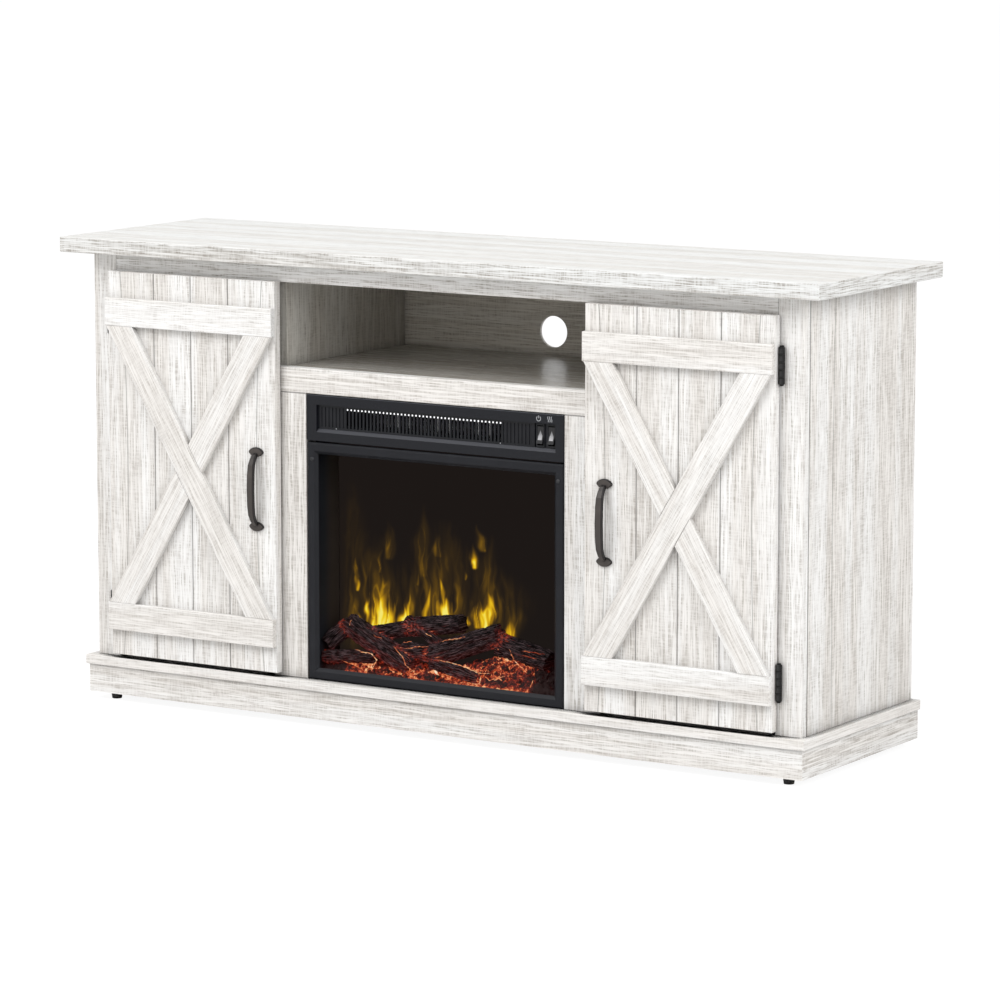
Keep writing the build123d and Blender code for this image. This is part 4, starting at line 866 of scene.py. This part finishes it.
# %% Ember finish
def ember(name, bias):
    """Dark lumps with red heat between them and orange-white seams; bias lifts the heat."""
    finish = Finish(name, Roughness=0.75, Specular_IOR_Level=0.2, Emission_Strength=1.0)
    spot = finish.spot()
    fine = finish.speckle(250, 4.0, 0.7)
    patch = finish.speckle(34)
    drift = finish.put("TexNoise", {"Vector": spot, "Scale": 130.0, "Detail": 2.0}, 1)
    bent = finish.mix_vectors(0.014, spot, drift)
    lumps = {"Vector": bent, "Scale": 88.0}
    edge = finish.put("TexVoronoi", lumps, "Distance", feature="DISTANCE_TO_EDGE")
    gaps = 1.0 - edge.ramp(0.02, 0.34)
    crown = finish.facing().axis("Z").ramp(0.1, 0.9)
    ends = abs(spot.axis("X") + 0.004).ramp(0.157, 0.182)
    level = fine * 0.56 + patch * 0.36 + gaps * 0.10 + finish.nook(0.009) * 0.26
    level = level - crown * 0.07 + bias - ends * 0.25
    heat = heat_ramp(level, (
        (0.0, (0.0015, 0.0004, 0.0004)), (0.47, (0.006, 0.001, 0.001)),
        (0.54, (0.09, 0.008, 0.005)), (0.62, (0.32, 0.026, 0.010)), (0.68, (0.82, 0.13, 0.035)),
        (0.735, (1.0, 0.50, 0.20)), (1.0, (1.0, 0.90, 0.70))))
    finish.bump(fine, 0.5, 0.001)
    crust = fine.blend((0.004, 0.003, 0.003), (0.024, 0.009, 0.008))
    return finish.set(Base_Color=crust, Emission_Color=heat)


skin = bed_skin()
bed = add_piece("ember_skin", skin, "cabinet", ember("ember bed", 0.01))
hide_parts("ember_bed")
print("ember bed", len(skin.polygons), "faces")


# %% Trees that shape what repeats
class Shaper(Tree):
    """A geometry tree with named number inputs."""

    def __init__(self, name, **kinds):
        super().__init__(bpy.data.node_groups.new(name, "GeometryNodeTree"))
        add = self.tree.interface.new_socket
        for label, kind in {"Geometry": "Geometry", **kinds}.items():
            add(label, in_out="INPUT", socket_type="NodeSocket" + kind)
        add("Geometry", in_out="OUTPUT", socket_type="NodeSocketGeometry")
        self.base = self.put("NodeGroupInput")

    def close(self, shape, finish):
        """Turn instances into plain mesh, set the finish, and end the tree."""
        real = self.put("GeometryNodeRealizeInstances", {0: shape})
        inputs = {"Geometry": real, "Material": finish.material}
        self.put("NodeGroupOutput", {0: self.put("GeometryNodeSetMaterial", inputs)})

    def grow(self, base, **settings):
        """Run the tree on a mesh with its inputs set, and return the result as a plain mesh."""
        carrier = bpy.data.objects.new("carrier", base)
        modifier = carrier.modifiers.new("tree", "NODES")
        modifier.node_group = self.tree
        for item in self.tree.interface.items_tree:
            if item.in_out == "INPUT" and item.name in settings:
                modifier[item.identifier] = settings[item.name]
        scene.collection.objects.link(carrier)
        result = carrier.evaluated_get(bpy.context.evaluated_depsgraph_get())
        mesh = bpy.data.meshes.new_from_object(result)
        carrier.modifiers.remove(modifier)
        bpy.data.objects.remove(carrier)
        return mesh


# %% Coals scattered by a node tree
scatter = Shaper("coal_scatter", Density="Float", Size="Float", Seed="Int")
base = scatter.base
drawn = {"Seed": base.also("Seed")}
inputs = {"Mesh": base, "Density": base.also("Density"), **drawn}
spread = scatter.put("GeometryNodeDistributePointsOnFaces", inputs, "Points")
lump = scatter.put("GeometryNodeMeshIcoSphere", {"Radius": 0.5, "Subdivisions": 2})
ripple = scatter.put("TexNoise", {"Scale": 2.4, "Detail": 2.0}, 1)
push = scatter.put("VectorMath", {0: ripple, 1: (0.5, 0.5, 0.5)}, operation="SUBTRACT")
rough = scatter.put("GeometryNodeSetPosition", {"Geometry": lump, "Offset": push})
full_turn = 6.28
inputs = {0: (0, 0, 0), 1: (full_turn, full_turn, full_turn), **drawn}
turns = scatter.put("FunctionNodeRandomValue", inputs, data_type="FLOAT_VECTOR")
sizes = scatter.put("FunctionNodeRandomValue", {2: 0.55, 3: 1.3, **drawn}, 1, data_type="FLOAT")
inputs = {"Points": spread, "Instance": rough, "Rotation": turns,
          "Scale": sizes * base.also("Size")}
scatter.close(scatter.put("GeometryNodeInstanceOnPoints", inputs), ember("loose coals", -0.03))

# Ends in X and in depth of the fields that coals fall on, millimetres
field = bmesh.new()
for x0, x1, d0, d1 in ((-204, 204, 22, 40), (70, 204, 30, 56), (-204, -150, 30, 50)):
    corners = ((x0, d0), (x1, d0), (x1, d1), (x0, d1))
    field.faces.new([field.verts.new(fire_point((x, d, 0))) for x, d in corners])
bmesh.ops.subdivide_edges(field, edges=field.edges, cuts=24, use_grid_fill=True)
for vert in field.verts:
    vert.co.z = fire_floor + mm * bed_rise(vert.co.x / mm, (vert.co.y - face_y) / mm)
coal_mesh = scatter.grow(as_mesh(field, "coal_field"), Density=7000.0, Size=0.0115, Seed=5)
add_piece("loose_coals", coal_mesh, "cabinet")
print("loose coals", len(coal_mesh.polygons), "faces")

# %% [markdown]
# ## Glowing seams
# The brightest marks of the fire are thin seams where logs rest on each other, and a few hot lumps.
# Each seam is a short list of points drawn over the front view of the pile. A ray from the camera
# through each point finds the wood or coal it lies on, and a thin tapering thread is laid there.

# %% Where the seams run
seam_depth = 30.0
# Heat and thickness in millimetres of each thread, then its points as X and height above the floor
SEAMS = (
    (0.95, 1.5, ((-184, 55), (-176, 51), (-154, 46), (-134, 45), (-124, 35), (-134, 18))),
    (0.85, 1.3, ((-124, 35), (-104, 27), (-80, 18))),
    (0.75, 1.1, ((-93, 60), (-77, 46), (-69, 32), (-49, 21))),
    (0.70, 1.0, ((-72, 58), (-45, 64), (-21, 66))), (0.75, 1.1, ((-6, 76), (16, 82), (38, 87))),
    (0.90, 1.3, ((-10, 47), (11, 45), (35, 41), (62, 34), (83, 36))),
    (0.85, 1.2, ((118, 76), (126, 60), (138, 51), (150, 42))),
    (0.80, 1.1, ((-171, 94), (-175, 85))), (0.90, 1.4, ((50, 16), (59, 16), (65, 19), (66, 30))),
    (1.00, 4.2, ((-28, 25), (-18, 29), (-10, 24))), (0.85, 2.4, ((91, 26), (97, 30), (104, 27))),
    (0.85, 1.2, ((-34, 86), (-23, 82))),
    (0.60, 1.0, ((-129, 74), (-114, 70))), (0.45, 1.2, ((141, 76), (162, 75), (181, 74))),
    (0.45, 1.1, ((141, 69), (167, 66))), (0.80, 1.2, ((155, 21), (162, 35))),
    (0.75, 1.2, ((-189, 29), (-169, 24), (-152, 20))),
    (0.70, 1.1, ((-104, 27), (-92, 20), (-75, 15))),
    (0.65, 1.0, ((69, 50), (86, 60), (93, 67))), (0.60, 1.0, ((-75, 67), (-55, 71), (-40, 72))),
    (0.65, 1.0, ((-18, 50), (-6, 52))), (0.80, 1.3, ((71, 32), (83, 25), (110, 34))),
    (0.70, 1.5, ((97, 75), (99, 73))), (0.65, 1.4, ((97, 59), (99, 57))),
    (0.65, 1.4, ((114, 53), (116, 51))),
)
print(len(SEAMS), "seams drawn")


# %% Drop a seam on the pile
def ground_under(point, surfaces, before=0.030, reach=0.120):
    """The first spot of the pile on the camera's line of sight through a point, or none."""
    start = Vector(point) + towards_camera * before
    hits = [surface.ray_cast(start, -towards_camera, reach) for surface in surfaces]
    hits = [(distance, spot) for spot, _, _, distance in hits if spot is not None]
    return min(hits, key=lambda hit: hit[0])[1] if hits else None


def seam_path(points, surfaces, seed, step=1.6, wander=1.5, pitch=0.16, leap=0.012):
    """Closely spaced spots along a seam, wandering a little, dropped on the pile."""
    spots = []
    for (x0, z0), (x1, z1) in zip(points, points[1:]):
        steps = max(2, int(math.hypot(x1 - x0, z1 - z0) / step))
        spots += [(x0 + (x1 - x0) * k / steps, z0 + (z1 - z0) * k / steps) for k in range(steps)]
    path = []
    for x, z in (*spots, points[-1]):
        x += wander * noise.noise(Vector((pitch * x, pitch * z, seed)))
        z += wander * noise.noise(Vector((pitch * x, pitch * z, seed + 40.0)))
        found = ground_under(fire_point((x, seam_depth, z)), surfaces)
        if found is not None and (not path or (found - path[-1]).length < leap):
            path.append(found)
    return path


# %% Thread a seam
def tube(shape, rings):
    """Faces between rings of points, closed at both ends."""
    for low, high in zip(rings, rings[1:]):
        for k in range(len(low)):
            after = (k + 1) % len(low)
            shape.faces.new((low[k], low[after], high[after], high[k]))
    shape.faces.new(list(reversed(rings[0])))
    shape.faces.new(rings[-1])


def thread(shape, path, radius, heat, layer, seed, sides=6, glass_gap=0.0006):
    """A tapering tube along a path, thick and thin by turns, with its heat in a vertex layer."""
    rings = []
    for index, spot in enumerate(path):
        ahead = path[min(index + 1, len(path) - 1)] - path[max(index - 1, 0)]
        turn = ahead.to_track_quat("Z", "Y").to_matrix()
        taper = math.sin(math.pi * (0.06 + 0.88 * index / (len(path) - 1))) ** 0.5
        beat = 0.75 + 0.7 * noise.noise(Vector((0.45 * index, seed, 2.0)))
        reach = radius * mm * max(0.10, 1.5 * beat - 0.45) * taper
        turns = [math.tau * k / sides for k in range(sides)]
        rings.append([shape.verts.new(spot + turn @ around_axis(reach, a, 0)) for a in turns])
        for vert in rings[-1]:
            vert.co.y = max(vert.co.y, glass_back + glass_gap)
            vert[layer] = heat * min(1.0, max(0.25, 0.45 + 0.6 * beat))
    tube(shape, rings)


# %% All the seams
surfaces = []
for mesh in (log_pile, skin, coal_mesh):
    solid = bmesh.new()
    solid.from_mesh(mesh)
    surfaces.append(BVHTree.FromBMesh(solid))
    solid.free()
shape = bmesh.new()
layer = shape.verts.layers.float.new("hotness")
laid, slimness, seed_gap = 0, 0.7, 3.7
for seed, (heat, radius, points) in enumerate(SEAMS):
    path = seam_path(points, surfaces, seed_gap * seed)
    if len(path) > 2:
        thread(shape, path, radius * slimness, heat, layer, seed)
        laid += 1
seam_mesh = as_mesh(shape, "ember_seams")
seam_glow = Finish("seam glow", Base_Color=(0.02, 0.008, 0.006), Roughness=0.8,
                   Specular_IOR_Level=0.0, Emission_Strength=1.0)
flutter = seam_glow.speckle(160).span(0.6, 1.1, 0.3, 0.7)
seam_glow.set(Emission_Color=heat_ramp(seam_glow.layer("hotness") * flutter, (
    (0.0, (0.02, 0.002, 0.002)), (0.30, (0.36, 0.045, 0.020)), (0.55, (0.86, 0.24, 0.09)),
    (0.82, (1.0, 0.60, 0.32)), (1.0, (1.0, 0.92, 0.74)))))
add_piece("ember_seams", seam_mesh, "cabinet", seam_glow)
print("seams", laid, "threads,", len(seam_mesh.polygons), "faces")

# %% [markdown]
# ## Painted slot light and blind slots
# A row of small bright points, painted light that glows in the open outlet slots, shows at their
# top. They follow the slots, so a node tree lays them out from two numbers, the pitch and the
# count.
# The slots beyond the bright points are blind: moulded grooves, closed a little way in. The same
# tree lays out their floors.

# %% Panes behind the slots
grille_low, grille_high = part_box("outlet_grille")
slot_pitch, slot_count = 0.0066, 58
first_open, open_slots = 7, 43
pane_depth, pane_thickness = 0.0014, 0.0008
print(slot_count, "slots,", open_slots, "of them open")
slots = Shaper("lamp_row", Pitch="Float", Count="Int", Width="Float", Height="Float")
base = slots.base
offset = slots.put("CombineXYZ", {"X": base.also("Pitch")})
line = slots.put("GeometryNodeMeshLine", {"Count": base.also("Count"), "Offset": offset})
size = slots.put("CombineXYZ", {
    "X": base.also("Width"), "Y": pane_thickness, "Z": base.also("Height")})
pane = slots.put("GeometryNodeMeshCube", {"Size": size})
row = slots.put("GeometryNodeInstanceOnPoints", {"Points": line, "Instance": pane})
# Painted light: the panes glow white in place of light seen through the slots
slot_light_finish = Finish("lamp window", Roughness=0.4, Emission_Strength=0.85)
tone = slot_light_finish.speckle(150, 1.0).blend((0.80, 0.82, 0.85), (0.98, 0.98, 0.98))
slots.close(row, slot_light_finish.set(Base_Color=tone, Emission_Color=tone))


def slot_row(first, count, width, height, z):
    """One pane behind each of some slots, counted from the left."""
    seed = bpy.data.meshes.new("seed")
    panes = slots.grow(seed, Pitch=slot_pitch, Count=count, Width=width, Height=height)
    start = (grille_low.x + grille_high.x) / 2 - slot_pitch * (slot_count - 1) / 2
    panes.transform(Matrix.Translation((start + slot_pitch * first, grille_low.y + pane_depth, z)))
    return panes


# %% Painted slot lights and blind floors
slot_light_width, slot_light_height, slot_light_drop = 0.0026, 0.0024, 0.0048
slot_light_panes = slot_row(first_open, open_slots, slot_light_width, slot_light_height, grille_high.z - slot_light_drop)
add_piece("lamp_row", slot_light_panes, "cabinet")
floor_width, floor_height = 0.0031, grille_high.z - grille_low.z - 0.0064
middle_z, after_open = (grille_low.z + grille_high.z) / 2, first_open + open_slots
shape = bmesh.new()
for first, count in ((0, first_open), (after_open, slot_count - after_open)):
    shape.from_mesh(slot_row(first, count, floor_width, floor_height, middle_z))
blind_mesh = as_mesh(shape, "slot_floors")
add_piece("slot_floors", blind_mesh, "cabinet", bezel_black)
# The bright points are painted light, glowing panes in the open slots
print("lamp row", open_slots, "points,", len(blind_mesh.polygons) // 6, "blind slots")

# %% [markdown]
# ## Switch marks and screws
# Over the rockers two small printed marks say what they do: a broken ring for power and three
# waves for heat. Two short ticks mark the ends of the outlet's sill. Ink has no real thickness, so
# all of these are flat ribbons. Two pan-head screws hold the window frame, and wire nails pin the
# back boards; the nails repeat, so a node tree sets them along each board's edge.


# %% Printed marks
def stroke(shape, points, width, y):
    """A flat ribbon along a list of X, Z points, lying on the plane y and facing the front."""
    pairs = []
    for index, (x, z) in enumerate(points):
        ahead = points[min(index + 1, len(points) - 1)]
        behind = points[max(index - 1, 0)]
        along = Vector((ahead[0] - behind[0], ahead[1] - behind[1])).normalized()
        side = Vector((-along.y, along.x)) * width / 2
        pairs.append([shape.verts.new((x + s * side.x, y, z + s * side.y)) for s in (1, -1)])
    for (left, right), (next_left, next_right) in zip(pairs, pairs[1:]):
        shape.faces.new((left, right, next_right, next_left))


# %% Ring, tick and waves
ink_lift, ink_width, tick_width, mark_drop = 0.00012, 0.0011, 0.0016, 0.0078
mark_y, mark_z = face_y - ink_lift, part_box("face_bezel")[1].z - mark_drop
power_x = sum(v.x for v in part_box("power_switch")) / 2
heat_x = sum(v.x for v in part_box("heat_switch")) / 2
ring_radius, tick_top, tick_foot = 0.0036, 0.0046, 0.0005
arc = [math.radians(a) for a in range(125, 416, 10)]
ring = [(power_x + ring_radius * math.cos(a), mark_z + ring_radius * math.sin(a)) for a in arc]
tick = [(power_x, mark_z + tick_top), (power_x, mark_z + tick_foot)]
wave_gap, wave_swing, wave_height, wave_steps = 0.0030, 0.0007, 0.0084, 12
wave_foot, steps = mark_z - wave_height / 2, range(wave_steps + 1)
heights = [wave_foot + wave_height * step / wave_steps for step in steps]
swings = [wave_swing * math.sin(full_turn * step / wave_steps) for step in steps]
waves = [[(x + swing, z) for swing, z in zip(swings, heights)]
         for x in (heat_x - wave_gap, heat_x, heat_x + wave_gap)]
shape = bmesh.new()
for line in (ring, tick, *waves):
    stroke(shape, line, ink_width, mark_y)
sill_ticks, sill_foot, sill_top = (-0.180, 0.118), grille_low.z + 0.0006, grille_low.z + 0.0024
for x in sill_ticks:
    stroke(shape, [(x, sill_foot), (x, sill_top)], tick_width, grille_low.y - ink_lift)
marks = as_mesh(shape, "switch_marks")
mark_print = Finish("mark print", Roughness=0.6)
tone = mark_print.speckle(900, 1.0).blend((0.30, 0.31, 0.33), (0.42, 0.43, 0.45))
mark_print.set(Base_Color=tone)
add_piece("switch_marks", marks, "cabinet", mark_print)
print("switch marks", len(marks.polygons), "faces")


# %% Screws
def pan_head(shape, center, radius, height, sides=24):
    """A domed screw head that faces the front."""
    rings = []
    turns = [math.tau * k / sides for k in range(sides)]
    for share, rise in ((1.0, 0.0), (0.98, 0.35), (0.85, 0.72), (0.60, 0.93), (0.30, 1.0)):
        reach, y = radius * share, -height * rise
        rim = [Vector((reach * math.cos(a), y, reach * math.sin(a))) for a in turns]
        rings.append([shape.verts.new(center + spot) for spot in rim])
    tube(shape, rings)


frame_low, frame_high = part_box("window_frame")
screw_inset, screw_drop, screw_sink = 0.0095, 0.026, 0.0001
screw_radius, screw_height = 0.0034, 0.0016
shape = bmesh.new()
for x in (frame_low.x + screw_inset, frame_high.x - screw_inset):
    center = Vector((x, frame_low.y + screw_sink, frame_high.z - screw_drop))
    pan_head(shape, center, screw_radius, screw_height)
bmesh.ops.recalc_face_normals(shape, faces=shape.faces)
screw_black = coated("screw black", (0.02, 0.021, 0.025), (0.05, 0.05, 0.055), 0.3, 0.4, 0.6)
screws = as_mesh(shape, "frame_screws")
add_piece("frame_screws", screws, "cabinet", screw_black)
print("frame screws", len(screws.polygons), "faces")

# %% Nails in the back boards
row = Shaper("nail_row", Spacing="Float", Head="Float")
curve = row.put("GeometryNodeMeshToCurve", {"Mesh": row.base})
inputs = {"Curve": curve, "Length": row.base.also("Spacing")}
spots = row.put("GeometryNodeCurveToPoints", inputs, mode="LENGTH")
inputs = {"Vertices": 12, "Radius": row.base.also("Head"), "Depth": 0.0006}
nail = row.put("GeometryNodeMeshCylinder", inputs)
nail = row.put("GeometryNodeTransform", {"Geometry": nail, "Rotation": (math.pi / 2, 0, 0)})
row.close(row.put("GeometryNodeInstanceOnPoints", {"Points": spots, "Instance": nail}), zinc)

runs = bpy.data.meshes.new("nail_runs")
nail_inset, nail_sink = 0.007, 0.0003
corners, edges = [], []
for word in ("left", "center", "right"):
    low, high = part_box(f"back_panel_{word}")
    x0, x1 = low.x + nail_inset, high.x - nail_inset
    z0, z1 = low.z + nail_inset, high.z - nail_inset
    start = len(corners)
    corners += [(x, high.y - nail_sink, z) for x, z in ((x0, z0), (x1, z0), (x1, z1), (x0, z1))]
    edges += [(start + k, start + (k + 1) % 4) for k in range(4)]
runs.from_pydata(corners, edges, [])
nail_mesh = row.grow(runs, Spacing=0.09, Head=0.0022)
add_piece("back_nails", nail_mesh, "cabinet")
print("back nails", len(nail_mesh.polygons), "faces")
